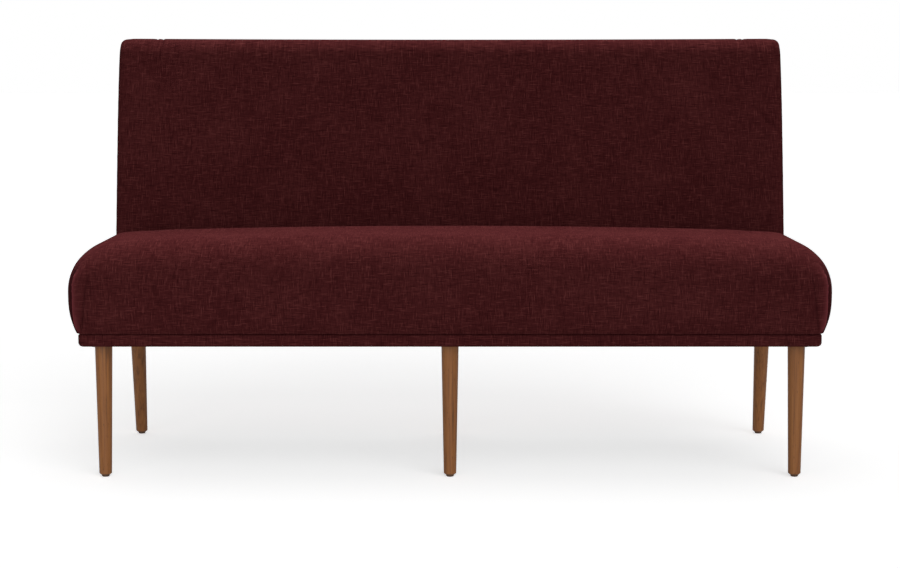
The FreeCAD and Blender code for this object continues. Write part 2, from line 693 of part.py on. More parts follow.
# Spring clips: a bent strip whose curl holds the end bar against the pull of the spring
curl = "(Sizes.wire_radius + Sizes.hole_room)"
clip_height = f"(2 * {curl})"
clip = extruded("clip_master", "YZ_Plane", [
    (f"-{curl} - Sizes.clip_tail", "0"),
    (f"{curl} + Sizes.clip_thick", "0"),
    (f"{curl} + Sizes.clip_thick", f"{clip_height} + 2 * Sizes.clip_thick"),
    (f"-{curl} - Sizes.clip_lip", f"{clip_height} + 2 * Sizes.clip_thick"),
    (f"-{curl} - Sizes.clip_lip", f"{clip_height} + Sizes.clip_thick"),
    (curl, f"{clip_height} + Sizes.clip_thick"),
    (curl, "Sizes.clip_thick"),
    (f"-{curl} - Sizes.clip_tail", "Sizes.clip_thick"),
], "Sizes.clip_width")
clip_places = []
half_clip = measure("Sizes.clip_width / 2")
for x in spring_columns:
    near = Vector(x - half_clip, measure(front_rail_middle), measure(rail_top))
    clip_places.append(Placement(near, Rotation()))
    far = Vector(x + half_clip, measure(rear_rail_middle), measure(rail_top))
    clip_places.append(Placement(far, Rotation(Vector(0, 0, 1), 180)))
keep("spring_clips", copies("spring_clips", clip, clip_places))

keep("deck_cloth", box("deck_cloth", (f"2 * {frame_half}", f"{frame_rear} - {frame_front}",
                                      "Sizes.deck_thick"),
                       (f"-{frame_half}", frame_front, clip_top)))


def ring_section(z, half, y_front, y_rear, front_radius, rear_radius, bow=0):
    # A closed rounded outline at one height; bow swells its front side into a shallow arc
    def bend(start, corner_x, corner_y, end, radius):
        swing = radius * (1 - math.sqrt(0.5))
        inward_x = -math.copysign(swing, corner_x)
        inward_y = swing if corner_y == y_front else -swing
        middle = Vector(corner_x + inward_x, corner_y + inward_y, z)
        return Part.Arc(start, middle, end).toShape()

    fl, fr = Vector(front_radius - half, y_front, z), Vector(half - front_radius, y_front, z)
    rf, rr = Vector(half, y_front + front_radius, z), Vector(half, y_rear - rear_radius, z)
    br, bl = Vector(half - rear_radius, y_rear, z), Vector(rear_radius - half, y_rear, z)
    lr, lf = Vector(-half, y_rear - rear_radius, z), Vector(-half, y_front + front_radius, z)
    face = Part.LineSegment(fl, fr) if bow == 0 else Part.Arc(fl, Vector(0, y_front - bow, z), fr)
    return Part.Wire([
        face.toShape(),
        bend(fr, half, y_front, rf, front_radius),
        Part.LineSegment(rf, rr).toShape(),
        bend(rr, half, y_rear, br, rear_radius),
        Part.LineSegment(br, bl).toShape(),
        bend(bl, -half, y_rear, lr, rear_radius),
        Part.LineSegment(lr, lf).toShape(),
        bend(lf, -half, y_front, fl, front_radius),
    ])


def back_front_at(z):
    return measure(f"{base_rear} - Sizes.back_thick") + (z - measure(base_top)) * measure(back_slope)


# A soft form is a loft through its sections, from the hem at the bottom to a flat top
sewing_gap = 1e-7


def skin(sections):
    return Part.makeLoft(sections, False, True).Faces


def sewn(faces):
    shell = Part.makeShell(faces)
    shell.sewShape()
    solid = Part.makeSolid(shell)
    solid.fix(sewing_gap, sewing_gap, sewing_gap)
    return solid


def filled(sections):
    return sewn(skin(sections) + [Part.Face(sections[0]), Part.Face(sections[-1])])


def layer_between(outer, inner):
    # A layer of cloth or wadding, closed over the top and open underneath
    hem = Part.Face([outer[0], inner[0]])
    tops = [Part.Face(outer[-1]), Part.Face(inner[-1])]
    return sewn(skin(outer) + skin(inner) + tops + [hem])


# Seat padding: the sides swell out to a waist, then roll over to a crown that falls to the rear
def seat_form(inset):
    half = measure("Sizes.overall_width / 2")
    waist, low = measure("Sizes.seat_waist_height"), measure(soft_bottom)
    tuck, fullness = measure("Sizes.seat_tuck"), measure("Sizes.seat_fullness")
    rise = measure("Sizes.seat_height") - waist - inset
    rear_drop, gap = measure("Sizes.seat_rear_drop"), measure("Sizes.layer_gap")
    rolls = [measure(f"Sizes.seat_roll_{side}") - inset for side in ("side", "front", "rear")]
    radius, rear_radius = measure("Sizes.seat_corner_radius"), measure("Sizes.seat_rear_corner_radius")
    hem_radius = measure("Sizes.seat_hem_radius")
    rear_hem_radius = measure("Sizes.seat_rear_hem_radius")
    y_front = measure(front)
    sections = []
    for share in (0, 0.2, 0.4, 0.6, 0.8, 1):
        z = low + share * (waist - low)
        narrow = (1 - share) ** 3
        pull = tuck * narrow + inset
        sections.append(ring_section(z, half - pull, y_front + pull, back_front_at(z) - gap - inset,
                                     radius + (hem_radius - radius) * narrow - inset,
                                     rear_radius + (rear_hem_radius - rear_radius) * narrow - inset))
    for angle in (8, 18, 30, 42, 54, 64, 74, 82, 90):
        lift = math.sin(math.radians(angle)) ** fullness
        pull = 1 - abs(math.cos(math.radians(angle))) ** fullness
        z = waist + rise * lift
        over = max(0, 1 - (waist + rise - z) / rear_drop)
        rear_pull = rolls[2] * (1 - math.sqrt(1 - over ** 2))
        sections.append(ring_section(z, half - inset - rolls[0] * pull, y_front + inset + rolls[1] * pull,
                                     back_front_at(z) - gap - inset - rear_pull,
                                     radius - inset, rear_radius - inset))
    return sections


cover_inset = measure("Sizes.cover_thick")
wadding_out = measure("Sizes.cover_thick + Sizes.layer_gap")
wadding_in = measure("Sizes.cover_thick + Sizes.layer_gap + Sizes.wadding_thick")
foam_out = measure(padding)
keep("seat_cover", shaped("seat_cover", layer_between(seat_form(0), seat_form(cover_inset))))
keep("seat_wadding", shaped("seat_wadding", layer_between(seat_form(wadding_out), seat_form(wadding_in))))


def seat_foam():
    gap = measure("Sizes.layer_gap")
    room = Part.makeBox(2 * (measure(frame_half) + gap),
                        measure(f"{frame_rear} - {frame_front}") + 2 * gap,
                        measure(f"{deck_top} - {board_bottom}"),
                        Vector(-measure(frame_half) - gap, measure(frame_front) - gap,
                               measure(board_bottom)))
    return filled(seat_form(foam_out)).cut(room)


keep("seat_foam", shaped("seat_foam", seat_foam()))


# Back frame: leaning boards, each an outline in the side plane drawn out along the bench
def rear_at(z):
    return f"({base_rear} + (({z}) - {base_top}) * {back_slope})"


def leaning_board(name, x, length, inset, depth, low, high):
    body = extruded(name, "YZ_Plane", [
        (f"{rear_at(low)} - {inset}", low),
        (f"{rear_at(high)} - {inset}", high),
        (f"{rear_at(high)} - {inset} - {depth}", high),
        (f"{rear_at(low)} - {inset} - {depth}", low),
    ], length)
    return at(body, x, "0", "0")


inner_post = f"({post_half} - Sizes.post_width)"
sill_top = f"({board_top} + Sizes.sill_height)"
top_rail_low = f"({post_top} - Sizes.back_rail_height)"
post_size = (post_inset, "Sizes.post_depth")
posts = {
    "left": leaning_board("back_left_blank", f"-{post_half}", "Sizes.post_width", *post_size,
                          board_top, post_top),
    "right": leaning_board("back_right_blank", inner_post, "Sizes.post_width", *post_size,
                           board_top, post_top),
    "center": leaning_board("back_center_blank", "-Sizes.post_width / 2", "Sizes.post_width", *post_size,
                            sill_top, top_rail_low),
}
top_rail = leaning_board("back_top_blank", f"-{inner_post}", f"2 * {inner_post}", *post_size,
                         top_rail_low, post_top)
sill = leaning_board("back_sill_blank", f"-{inner_post}", f"2 * {inner_post}", post_inset,
                     "Sizes.sill_depth", board_top, sill_top)

post_holes = {"left": [], "right": [], "center": []}
rail_holes = {"top": [], "sill": []}
back_pegs = []
rail_levels = {
    "top": f"({post_top} - Sizes.back_rail_height / 2)",
    "sill": f"({board_top} + Sizes.sill_height / 2)",
}
for rail, level in rail_levels.items():
    spread = "Sizes.back_dowel_spread" if rail == "top" else "(Sizes.sill_height / 2)"
    levels = [f"({level} + {side} * {spread} / 2)" for side in (-1, 1)]
    for side, x in (("left", f"-{inner_post}"), ("right", inner_post)):
        spots = [(x, f"({rear_at(z)} - {post_inset} - Sizes.post_depth / 2)", z) for z in levels]
        pegs, holes = dowel_pair(f"back_dowel_{rail}_{side}", spots, along_x, ("1", "0", "0"))
        back_pegs += pegs
        rail_holes[rail] += holes
        post_holes[side] += holes
for rail, level in (("top", top_rail_low), ("sill", sill_top)):
    spots = [(f"{side} * Sizes.back_dowel_spread / 2",
              f"({rear_at(level)} - {post_inset} - Sizes.post_depth / 2)", level) for side in (-1, 1)]
    lean_step = ("0", "sin(Sizes.back_recline * 1deg)", "cos(Sizes.back_recline * 1deg)")
    pegs, holes = dowel_pair(f"back_dowel_{rail}_center", spots, leaning, lean_step)
    back_pegs += pegs
    rail_holes[rail] += holes
    post_holes["center"] += holes
keep("back_frame_dowels", group("back_frame_dowels", back_pegs))
for side, blank in posts.items():
    keep(f"back_{side}_post", cut(f"back_{side}_post", blank, post_holes[side]))
keep("back_top_rail", cut("back_top_rail", top_rail, rail_holes["top"]))
keep("back_sill", cut("back_sill", sill, rail_holes["sill"] + [back_bolt_holes]))

# Webbing straps tacked across the front of the posts
straps = []
strap_rows = int(measure("Sizes.webbing_rows"))
for number in range(strap_rows):
    share = f"{number + 1} / {strap_rows + 1}"
    low = f"({sill_top} + ({top_rail_low} - {sill_top}) * {share} - Sizes.webbing_width / 2)"
    straps.append(leaning_board(f"strap_{number}", f"-{post_half}", f"2 * {post_half}", webbing_inset,
                                "Sizes.webbing_thick", low, f"({low} + Sizes.webbing_width)"))
keep("back_webbing", group("back_webbing", straps))


# Back padding: a leaning panel with a softly crowned face and a rounded top
def back_form(inset):
    half = measure(back_half) - inset
    low, high = measure(soft_bottom), measure("Sizes.overall_height") - inset
    thick, slope, start = measure("Sizes.back_thick"), measure(back_slope), measure(base_top)
    rear = measure(base_rear)
    top_radius = measure("Sizes.back_top_radius") - inset / 2
    draw, crown = measure("Sizes.back_draw_in"), measure("Sizes.back_crown")
    radius = measure("Sizes.back_corner_radius") - inset / 2
    rear_radius = measure("Sizes.back_rear_radius") - inset / 2
    shoulder = high - top_radius

    def section(z, share, pull):
        y_rear = rear + (z - start) * slope
        swell = math.sin(math.pi * share)
        bow = crown * (1 + swell) / 4
        return ring_section(z, half - pull - draw * (1 - swell),
                            y_rear - thick + inset + pull + crown * (1 - swell) / 2 + bow,
                            y_rear - inset - pull, radius, rear_radius, bow)

    shares = (0, 0.15, 0.3, 0.5, 0.7, 0.85, 1)
    sections = [section(low + share * (shoulder - low), share, 0) for share in shares]
    for angle in (30, 60, 90):
        lift, pull = math.sin(math.radians(angle)), 1 - math.cos(math.radians(angle))
        sections.append(section(shoulder + top_radius * lift, 1, top_radius * pull))
    return sections


def side_prism(half, near, far, low, high):
    # A leaning block across the bench, from one depth in front of the rear face to another
    rear, start, slope = measure(base_rear), measure(base_top), measure(back_slope)
    corners = []
    for depth, z in ((near, low), (near, high), (far, high), (far, low)):
        corners.append(Vector(-half, rear + (z - start) * slope - depth, z))
    face = Part.Face(Part.makePolygon(corners + corners[:1]))
    return face.extrude(Vector(2 * half, 0, 0))


panel_half = f"({back_half} - Sizes.back_draw_in - Sizes.panel_margin)"
panel_top = "(Sizes.overall_height - Sizes.panel_margin)"
keep("outside_back", leaning_board("outside_back", f"-{panel_half}", f"2 * {panel_half}", "0",
                                   "Sizes.panel_thick", soft_bottom, panel_top))

# The cover is open round the panel, the wadding stops short of the rear edge of the posts and makes
# room for their top corners, and the foam lies in front of the webbing and the deeper sill
layer = measure("Sizes.layer_gap")
beyond = measure("Sizes.back_thick")
ground = measure(board_bottom)
full_half = measure("Sizes.overall_width")
full_top = measure("2 * Sizes.overall_height")
panel_opening = side_prism(measure(panel_half) + layer, -beyond, measure(webbing_inset),
                           ground, measure(panel_top) + layer)
wadding_trim = side_prism(full_half, -beyond, measure("Sizes.wadding_stop"), ground, full_top)
corner_room = side_prism(measure(post_half) + layer, -beyond, measure(webbing_inset) + layer,
                         measure(f"{post_top} - Sizes.back_top_radius"), measure(post_top) + layer)
frame_room = side_prism(full_half, -beyond, measure(f"{webbing_inset} + Sizes.webbing_thick") + layer,
                        ground, full_top)
sill_room = side_prism(measure(inner_post) + layer, -beyond,
                       measure(f"{post_inset} + Sizes.sill_depth") + layer,
                       ground, measure(sill_top) + layer)
back_cover = layer_between(back_form(0), back_form(cover_inset)).cut(panel_opening)
keep("back_cover", shaped("back_cover", back_cover))
back_wadding = layer_between(back_form(wadding_out), back_form(wadding_in))
back_wadding = back_wadding.cut(wadding_trim).cut(corner_room)
keep("back_wadding", shaped("back_wadding", back_wadding))
back_foam = filled(back_form(foam_out)).cut(frame_room).cut(sill_room)
keep("back_foam", shaped("back_foam", back_foam))

doc.recompute()

# Every feature is sound, and every piece is a whole solid, before anything is written
for item in doc.Objects:
    if "Invalid" in item.State or "Error" in item.State:
        raise ValueError(f"{item.Label} failed: {item.State}")
for label, item in finished.items():
    if item.Shape.isNull() or not item.Shape.isValid():
        raise ValueError(f"{label} has no sound shape")
    print(label, len(item.Shape.Solids), "solid(s)", round(item.Shape.Volume / 1000, 1), "cm3")

os.makedirs("parts", exist_ok=True)
for label, item in finished.items():
    item.Shape.exportStep(f"parts/{label}.step")
print(len(finished), "pieces written")
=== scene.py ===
import math
import bmesh
import bpy
from mathutils import Matrix, Vector, kdtree


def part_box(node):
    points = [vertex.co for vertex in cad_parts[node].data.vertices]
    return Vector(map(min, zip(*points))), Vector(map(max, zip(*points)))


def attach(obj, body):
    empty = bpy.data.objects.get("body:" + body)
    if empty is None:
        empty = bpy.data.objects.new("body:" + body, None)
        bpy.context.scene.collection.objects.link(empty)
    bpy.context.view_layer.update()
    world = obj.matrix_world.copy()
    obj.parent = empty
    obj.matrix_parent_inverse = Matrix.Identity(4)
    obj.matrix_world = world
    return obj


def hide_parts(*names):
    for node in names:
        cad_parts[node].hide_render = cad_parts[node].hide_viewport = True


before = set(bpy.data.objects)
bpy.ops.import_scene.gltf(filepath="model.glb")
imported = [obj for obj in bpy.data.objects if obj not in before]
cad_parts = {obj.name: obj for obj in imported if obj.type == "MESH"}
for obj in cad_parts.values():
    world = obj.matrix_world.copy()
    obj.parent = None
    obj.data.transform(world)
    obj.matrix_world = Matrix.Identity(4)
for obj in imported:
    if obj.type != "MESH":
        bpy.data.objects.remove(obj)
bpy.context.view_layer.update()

scene = bpy.context.scene
mm = 0.001
hair = 0.01 * mm  # heights closer than this count as one level


def linear(code):
    # sRGB hex to linear
    channels = []
    for start in (1, 3, 5):
        value = int(code[start:start + 2], 16) / 255
        channels.append(value / 12.92 if value <= 0.04045 else ((value + 0.055) / 1.055) ** 2.4)
    return (*channels, 1)


def newMaterial(name):
    material = bpy.data.materials.new(name)
    material.use_nodes = True
    material.node_tree.nodes.clear()
    return material


def addNode(material, kind, sockets=None, **settings):
    # sockets are filled with plain values or linked to another node's output
    node = material.node_tree.nodes.new("ShaderNode" + kind)
    for name, value in settings.items():
        setattr(node, name, value)
    for socket, value in (sockets or {}).items():
        if isinstance(value, bpy.types.NodeSocket):
            material.node_tree.links.new(value, node.inputs[socket])
        else:
            node.inputs[socket].default_value = value
    return node


def addMath(material, operation, *values):
    return addNode(material, "Math", dict(enumerate(values)), operation=operation).outputs[0]


def layTones(material, palette, layers):
    # second tones go over the base in turn: each has a source, the values where its share starts and is full,
    # and its greatest share
    tone = linear(palette["base"])
    for second, source, start, full, most in layers:
        share = addNode(material, "MapRange", {"Value": source, "From Min": start, "From Max": full,
                                               "To Max": most}).outputs[0]
        tone = addNode(material, "Mix", {"Factor": share, 6: tone, 7: linear(palette[second])},
                       data_type="RGBA").outputs[2]
    return tone


# Wine red linen weave: single thicker yarns show as thin pale and dark lines both ways on a dull even ground;
# the edge colour is a painted highlight on each pleat fold's edge, the pocket colour is painted shade in the
# pocket behind it and along the crease, and cloth that turns away blooms pink
linen = {"base": "#441B1C", "light": "#673332", "dark": "#280A0C", "pocketShade": "#1C0407", "edge": "#8A4046",
         "bloom": "#E0808A",
         "slubLong": 22 * mm,
         "slubWide": 2.0 * mm,  # real yarn is about 0.8 mm, drawn coarser to show
         "weave": 2.6 * mm,     # real pitch is about 1.2 mm, drawn coarser to show
         "laneShift": 50, "mottle": 120 * mm, "weaveShare": 0.3, "bumpStrength": 0.3, "bumpDepth": 0.3 * mm}
waveUnit = math.tau / 20  # a wave texture of this scale has one band to the unit


def makeLinen(name):
    cloth = newMaterial(name)
    threads = addNode(cloth, "UVMap", uv_map="cloth").outputs["UV"]
    split = addNode(cloth, "SeparateXYZ", {"Vector": threads}).outputs
    slubs, ribs = [], []
    for along, beside in (("X", "Y"), ("Y", "X")):
        # every thread has its own run of thick and thin
        lane = addMath(cloth, "DIVIDE", split[beside], linen["slubWide"])
        chance = addNode(cloth, "TexWhiteNoise", {"W": addMath(cloth, "FLOOR", lane)},
                         noise_dimensions="1D").outputs["Value"]
        run = addMath(cloth, "DIVIDE", split[along], linen["slubLong"])
        run = addMath(cloth, "MULTIPLY_ADD", chance, linen["laneShift"], run)
        place = addNode(cloth, "CombineXYZ", {"X": run, "Y": lane}).outputs[0]
        slubs.append(addNode(cloth, "TexNoise", {"Vector": place, "Scale": 1, "Detail": 1, "Roughness": 0.5},
                             noise_dimensions="2D").outputs["Fac"])
        ribs.append(addNode(cloth, "TexWave", {"Vector": threads, "Scale": waveUnit / linen["weave"]},
                            bands_direction=along).outputs["Fac"])
    thickest = addMath(cloth, "MAXIMUM", *slubs)
    thinnest = addMath(cloth, "MINIMUM", *slubs)
    mottle = addNode(cloth, "TexNoise", {"Vector": threads, "Scale": 1 / linen["mottle"], "Detail": 2},
                     noise_dimensions="2D").outputs["Fac"]
    # painted light and shade from the pleats: above 0 a painted highlight on the fold's edge, below 0 painted
    # shade in its pocket and crease
    paintedFoldShading = addNode(cloth, "Attribute", attribute_name="paintedFoldShading").outputs["Fac"]
    tone = layTones(cloth, linen, (
        ("light", mottle, 0.4, 0.8, 0.16), ("light", thickest, 0.6, 0.8, 0.68),
        ("dark", thinnest, 0.42, 0.22, 0.68), ("edge", paintedFoldShading, 0, 1, 1), ("pocketShade", paintedFoldShading, 0, -1, 1)))
    weave = addMath(cloth, "MULTIPLY", *ribs)
    height = addMath(cloth, "MULTIPLY_ADD", weave, linen["weaveShare"], thickest)
    bump = addNode(cloth, "Bump", {"Height": height, "Strength": linen["bumpStrength"],
                                   "Distance": linen["bumpDepth"]}).outputs[0]
    shader = addNode(cloth, "BsdfPrincipled", {
        "Base Color": tone, "Roughness": 0.9, "Normal": bump, "Specular IOR Level": 0.0,
        "Sheen Weight": 0.05, "Sheen Roughness": 0.4, "Sheen Tint": linear(linen["bloom"])})
    addNode(cloth, "OutputMaterial", {"Surface": shader.outputs[0]})
    return cloth


# Walnut stained hardwood, turned and satin lacquered: fine upright grain with short dark pores
walnut = {"base": "#955B29", "light": "#AA6F37", "dark": "#6C421E", "pore": "#452711",
          "grainWide": 2.2 * mm, "grainLong": 110 * mm, "poreWide": 1.4 * mm, "poreLong": 9 * mm}
# Sawn poplar for the hidden frame: pale, dry and a little furry
poplar = {"base": "#B99A6B", "light": "#CDB184", "dark": "#96794E", "pore": "#7B6240",
          "grainWide": 4 * mm, "grainLong": 90 * mm, "poreWide": 1.5 * mm, "poreLong": 12 * mm}


def makeWood(name, wood, roughness):
    timber = newMaterial(name)
    place = addNode(timber, "TexCoord").outputs["Object"]
    grain = addNode(timber, "Mapping", {"Vector": place, "Scale": (
        1 / wood["grainWide"], 1 / wood["grainWide"], 1 / wood["grainLong"])}).outputs[0]
    pores = addNode(timber, "Mapping", {"Vector": place, "Location": (7, 3, 0), "Scale": (
        1 / wood["poreWide"], 1 / wood["poreWide"], 1 / wood["poreLong"])}).outputs[0]
    streak = addNode(timber, "TexNoise", {"Vector": grain, "Scale": 0.5, "Detail": 4, "Roughness": 0.65,
                                          "Distortion": 0.4}).outputs["Fac"]
    fleck = addNode(timber, "TexNoise", {"Vector": pores, "Scale": 0.8, "Detail": 1}).outputs["Fac"]
    tone = layTones(timber, wood, (
        ("light", streak, 0.45, 0.75, 1), ("dark", streak, 0.47, 0.28, 1), ("pore", fleck, 0.68, 0.76, 0.65)))
    bump = addNode(timber, "Bump", {"Height": streak, "Strength": 0.15, "Distance": 0.15 * mm}).outputs[0]
    shader = addNode(timber, "BsdfPrincipled", {"Base Color": tone, "Roughness": roughness, "Normal": bump,
                                                "IOR": 1.5})
    addNode(timber, "OutputMaterial", {"Surface": shader.outputs[0]})
    return timber


def makePlain(name, base, second, grain, roughness, metallic=0):
    # two tones in a fine grit
    plain = newMaterial(name)
    place = addNode(plain, "TexCoord").outputs["Object"]
    grit = addNode(plain, "TexNoise", {"Vector": place, "Scale": 1 / grain, "Detail": 3,
                                       "Roughness": 0.6}).outputs["Fac"]
    tone = layTones(plain, {"base": base, "second": second}, (("second", grit, 0.3, 0.7, 1),))
    bump = addNode(plain, "Bump", {"Height": grit, "Strength": 0.3, "Distance": 0.1 * mm}).outputs[0]
    shader = addNode(plain, "BsdfPrincipled", {"Base Color": tone, "Roughness": roughness,
                                               "Metallic": metallic, "Normal": bump})
    addNode(plain, "OutputMaterial", {"Surface": shader.outputs[0]})
    return plain


linenCloth = makeLinen("wine_linen_weave")
legWood = makeWood("walnut_satin_turned", walnut, 0.42)
frameWood = makeWood("poplar_sawn", poplar, 0.8)
# Moulded nylon: brown, faintly pebbled
glideNylon = makePlain("nylon_brown_moulded", "#553720", "#63432A", 1.5 * mm, 0.5)
# Zinc plated steel: grey, slightly mottled by the plating
zincSteel = makePlain("steel_zinc_plated", "#8F9091", "#A9AAAB", 3 * mm, 0.38, metallic=1)
# Spunbond polypropylene: black, dull, with a pressed fibre grit
spunbond = makePlain("spunbond_black_pressed", "#17171A", "#26262A", 1.6 * mm, 0.9)
print("materials made")

nodeLooks = {"leg_": legWood, "glide_": glideNylon, "hanger_bolts": zincSteel, "tee_nuts": zincSteel,
             "seat_to_base_screws": zincSteel, "back_bolts": zincSteel, "back_inserts": zincSteel,
             "corner_block_screws": zincSteel, "sinuous_springs": zincSteel, "spring_clips": zincSteel,
             "deck_cloth": spunbond, "back_webbing": spunbond}
for nodeName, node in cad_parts.items():
    look = frameWood
    for start, material in nodeLooks.items():
        if nodeName.startswith(start):
            look = material
    node.data.materials.clear()
    node.data.materials.append(look)


def smoothStep(low, high, value):
    share = min(1, max(0, (value - low) / (high - low)))
    return share * share * (3 - 2 * share)


def hump(span, value):
    # rises between the first two places of the span and falls between the last two
    return smoothStep(span[0], span[1], value) * (1 - smoothStep(span[2], span[3], value))


def addObject(name, data):
    holder = bpy.data.objects.new(name, data)
    scene.collection.objects.link(holder)
    return holder


def meshFrom(bm, name):
    mesh = bpy.data.meshes.new(name)
    bm.to_mesh(mesh)
    bm.free()
    return mesh


def makePiece(bm, name, material, slotName, *stoodFor):
    mesh = meshFrom(bm, name)
    mesh.shade_smooth()
    mesh.materials.append(material)
    piece = addObject(name, mesh)
    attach(piece, "root")
    if stoodFor:
        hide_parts(*stoodFor)
    print(name, "made,", len(mesh.polygons), "faces")
    return piece


def addThickness(piece, thick, offset=-1):
    layer = piece.modifiers.new("cloth thickness", "SOLIDIFY")
    layer.thickness = thick
    layer.offset = offset


def readValues(mesh, name):
    return [item.value for item in mesh.attributes[name].data]


def dropValues(mesh, *names):
    for name in names:
        mesh.attributes.remove(mesh.attributes[name])


def roundEdges(bm, edges, radius, segments):
    bmesh.ops.bevel(bm, geom=edges, offset=radius, affect="EDGES", segments=segments, profile=0.5,
                    material=-1)


def growRim(bm, rim):
    # one more ring of faces from an open rim: the new rim and its points
    grown = bmesh.ops.extrude_edge_only(bm, edges=rim)["geom"]
    edges = [item for item in grown if isinstance(item, bmesh.types.BMEdge) and item.is_boundary]
    return edges, [item for item in grown if isinstance(item, bmesh.types.BMVert)]


def blendInside(spotOf, ring, across, up, acrossCount, upCount):
    # a point inside a ring: a blend of its four sides
    u, v = across / acrossCount, up / upCount
    low, high = spotOf(ring, across, 0), spotOf(ring, across, upCount)
    left, right = spotOf(ring, 0, up), spotOf(ring, acrossCount, up)
    corners = [spotOf(ring, a, b) for b in (0, upCount) for a in (0, acrossCount)]
    weights = ((1 - u) * (1 - v), u * (1 - v), (1 - u) * v, u * v)
    spot = []
    for axis in (0, 1):
        value = (1 - v) * low[axis] + v * high[axis] + (1 - u) * left[axis] + u * right[axis]
        for weight, corner in zip(weights, corners):
            value -= weight * corner[axis]
        spot.append(value)
    return spot


# How a cover is simulated: its wide level face starts smaller by slack, the pad behind it pulls with padHold
# and padStiff, and no point moves by more than cap; each point follows the nearest points of the thinned copy
settle = {"slack": 1.3 * mm, "padHold": 0.5, "padStiff": 2.2, "pressure": 4, "mass": 0.1, "bending": 0.5,
          "quality": 3, "frames": 20, "thinning": 4, "nearest": 6, "nearness": 2 * mm, "cap": 6 * mm}


def settleCover(piece, level):
    # cloth simulation on a thinned copy: air pressure rounds the cover out between its stapled edges,
    # and the full mesh follows the copy
    fixed = readValues(piece.data, "hold")
    normals = [vert.normal.copy() for vert in piece.data.vertices]
    for vert, normal, fix in zip(piece.data.vertices, normals, fixed):
        vert.co -= normal * settle["slack"] * normal.dot(level) ** 2 * (1 - fix)
    bm = bmesh.new()
    bm.from_mesh(piece.data)
    bmesh.ops.unsubdivide(bm, verts=bm.verts[:], iterations=settle["thinning"])
    mesh = meshFrom(bm, "thinned")
    copy = addObject("thinned", mesh)
    group = copy.vertex_groups.new(name="held")
    for index, value in enumerate(readValues(mesh, "hold")):
        group.add([index], settle["padHold"] + (1 - settle["padHold"]) * value, "REPLACE")
    cloth = copy.modifiers.new("tight cover", "CLOTH")
    cloth.settings.quality = settle["quality"]
    cloth.settings.mass = settle["mass"]
    cloth.settings.bending_stiffness = settle["bending"]
    cloth.settings.use_pressure = True
    cloth.settings.uniform_pressure_force = settle["pressure"]
    cloth.settings.vertex_group_mass = "held"
    cloth.settings.pin_stiffness = settle["padStiff"]
    cloth.settings.effector_weights.gravity = 0
    cloth.collision_settings.use_collision = False
    for number in range(1, settle["frames"] + 1):
        scene.frame_set(number)
    settled = copy.evaluated_get(bpy.context.evaluated_depsgraph_get())
    shifts = [end.co - start.co for start, end in zip(mesh.vertices, settled.data.vertices)]
    tree = kdtree.KDTree(len(shifts))
    for vert in mesh.vertices:
        tree.insert(vert.co, vert.index)
    tree.balance()
    bpy.data.objects.remove(copy)
    bpy.data.meshes.remove(mesh)
    scene.frame_set(1)
    most = 0
    for vert, fix in zip(piece.data.vertices, fixed):
        shift, total = Vector(), 0
        for place, index, distance in tree.find_n(vert.co, settle["nearest"]):
            weight = 1 / (distance + settle["nearness"]) ** 2
            shift += shifts[index] * weight
            total += weight
        shift *= (1 - fix) / total
        if shift.length > settle["cap"]:
            shift.length = settle["cap"]
        most = max(most, shift.length)
        vert.co += shift
    print(piece.name, "settled, moved by up to", round(most / mm, 2), "mm")


# Where things stand, from the frame
seatLow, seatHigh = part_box("seat_cover")
backLow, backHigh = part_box("back_cover")
panelLow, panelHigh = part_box("outside_back")
bandLow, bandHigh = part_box("base_wrap")
legLow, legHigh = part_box("leg_front_middle")
recline = 11  # degrees
lean = math.tan(math.radians(recline))
backThick = 96 * mm
coverThick = 1.6 * mm


def rearFace(z):
    return panelHigh.y - (panelHigh.z - z) * lean


def backFace(z):
    return rearFace(z) - backThick


# Seat: one tight cover over a crowned block, pleated at its two front corners
seat = {"waistHeight": 369 * mm, "tuck": 21.4 * mm, "sideRoll": 99 * mm, "frontRoll": 120 * mm,
        "rearRoll": 250 * mm, "rearDrop": 45 * mm, "rearGap": 1.5 * mm, "fullness": 0.92,
        "crownFall": 6.4 * mm, "crownSpan": 520 * mm, "cornerRadius": 80 * mm, "hemRadius": 27 * mm,
        "rearCornerRadius": 34 * mm, "rearHemRadius": 14 * mm, "ease": 1.8 * mm,
        "lip": 14 * mm, "lipShares": (0.3, 0.6, 1), "lipRadius": 4 * mm, "holdRise": (0.03, 0.3),
        "arcSteps": 36, "rearArcSteps": 6, "frontSteps": 84, "sideSteps": 34, "fineSteps": 800,
        "ringSpacing": 4.6 * mm}
# starts, sweeps and the wall are degrees in plan, spans are shares of the pleat's height,
# and sunkNear and sunkFar shape the hollow behind the fold
pleat = {"top": 430 * mm, "reach": (-0.01, 1.1),
         "creaseStart": 33, "creaseSweep": -10, "creaseDepth": 1.8 * mm, "creaseWidth": 2.2 * mm,
         "creaseSpan": (0.0, 0.2, 0.72, 1.05), "creaseShade": 0.3, "creaseFade": (0.6, 1.0),
         "foldStart": 47, "foldSweep": 6, "foldSweepRise": (0.5, 1), "foldHeight": 5.5 * mm,
         "foldSpan": (-0.02, 0.14, 0.74, 1.06), "foldSwell": 1.4, "foldWall": 1, "foldStation": 3,
         "wallStations": 2, "sunk": 3.2, "sunkNear": 0.6, "sunkFar": 1.3,
         # painted light and shade at the pleat: the span and strengths below paint a highlight along the
         # fold's edge and shade in the pocket behind it; the crease's strength above paints shade in the
         # crease
         "paintedShadingSpan": (-0.02, 0.1, 0.8, 1.06), "edgeHighlight": 0.72, "edgeHighlightWidth": 6 * mm,
         "pocketShadeStrength": 0.7, "pocketShade": 56 * mm, "pocketShadeFade": (0.3, 1)}


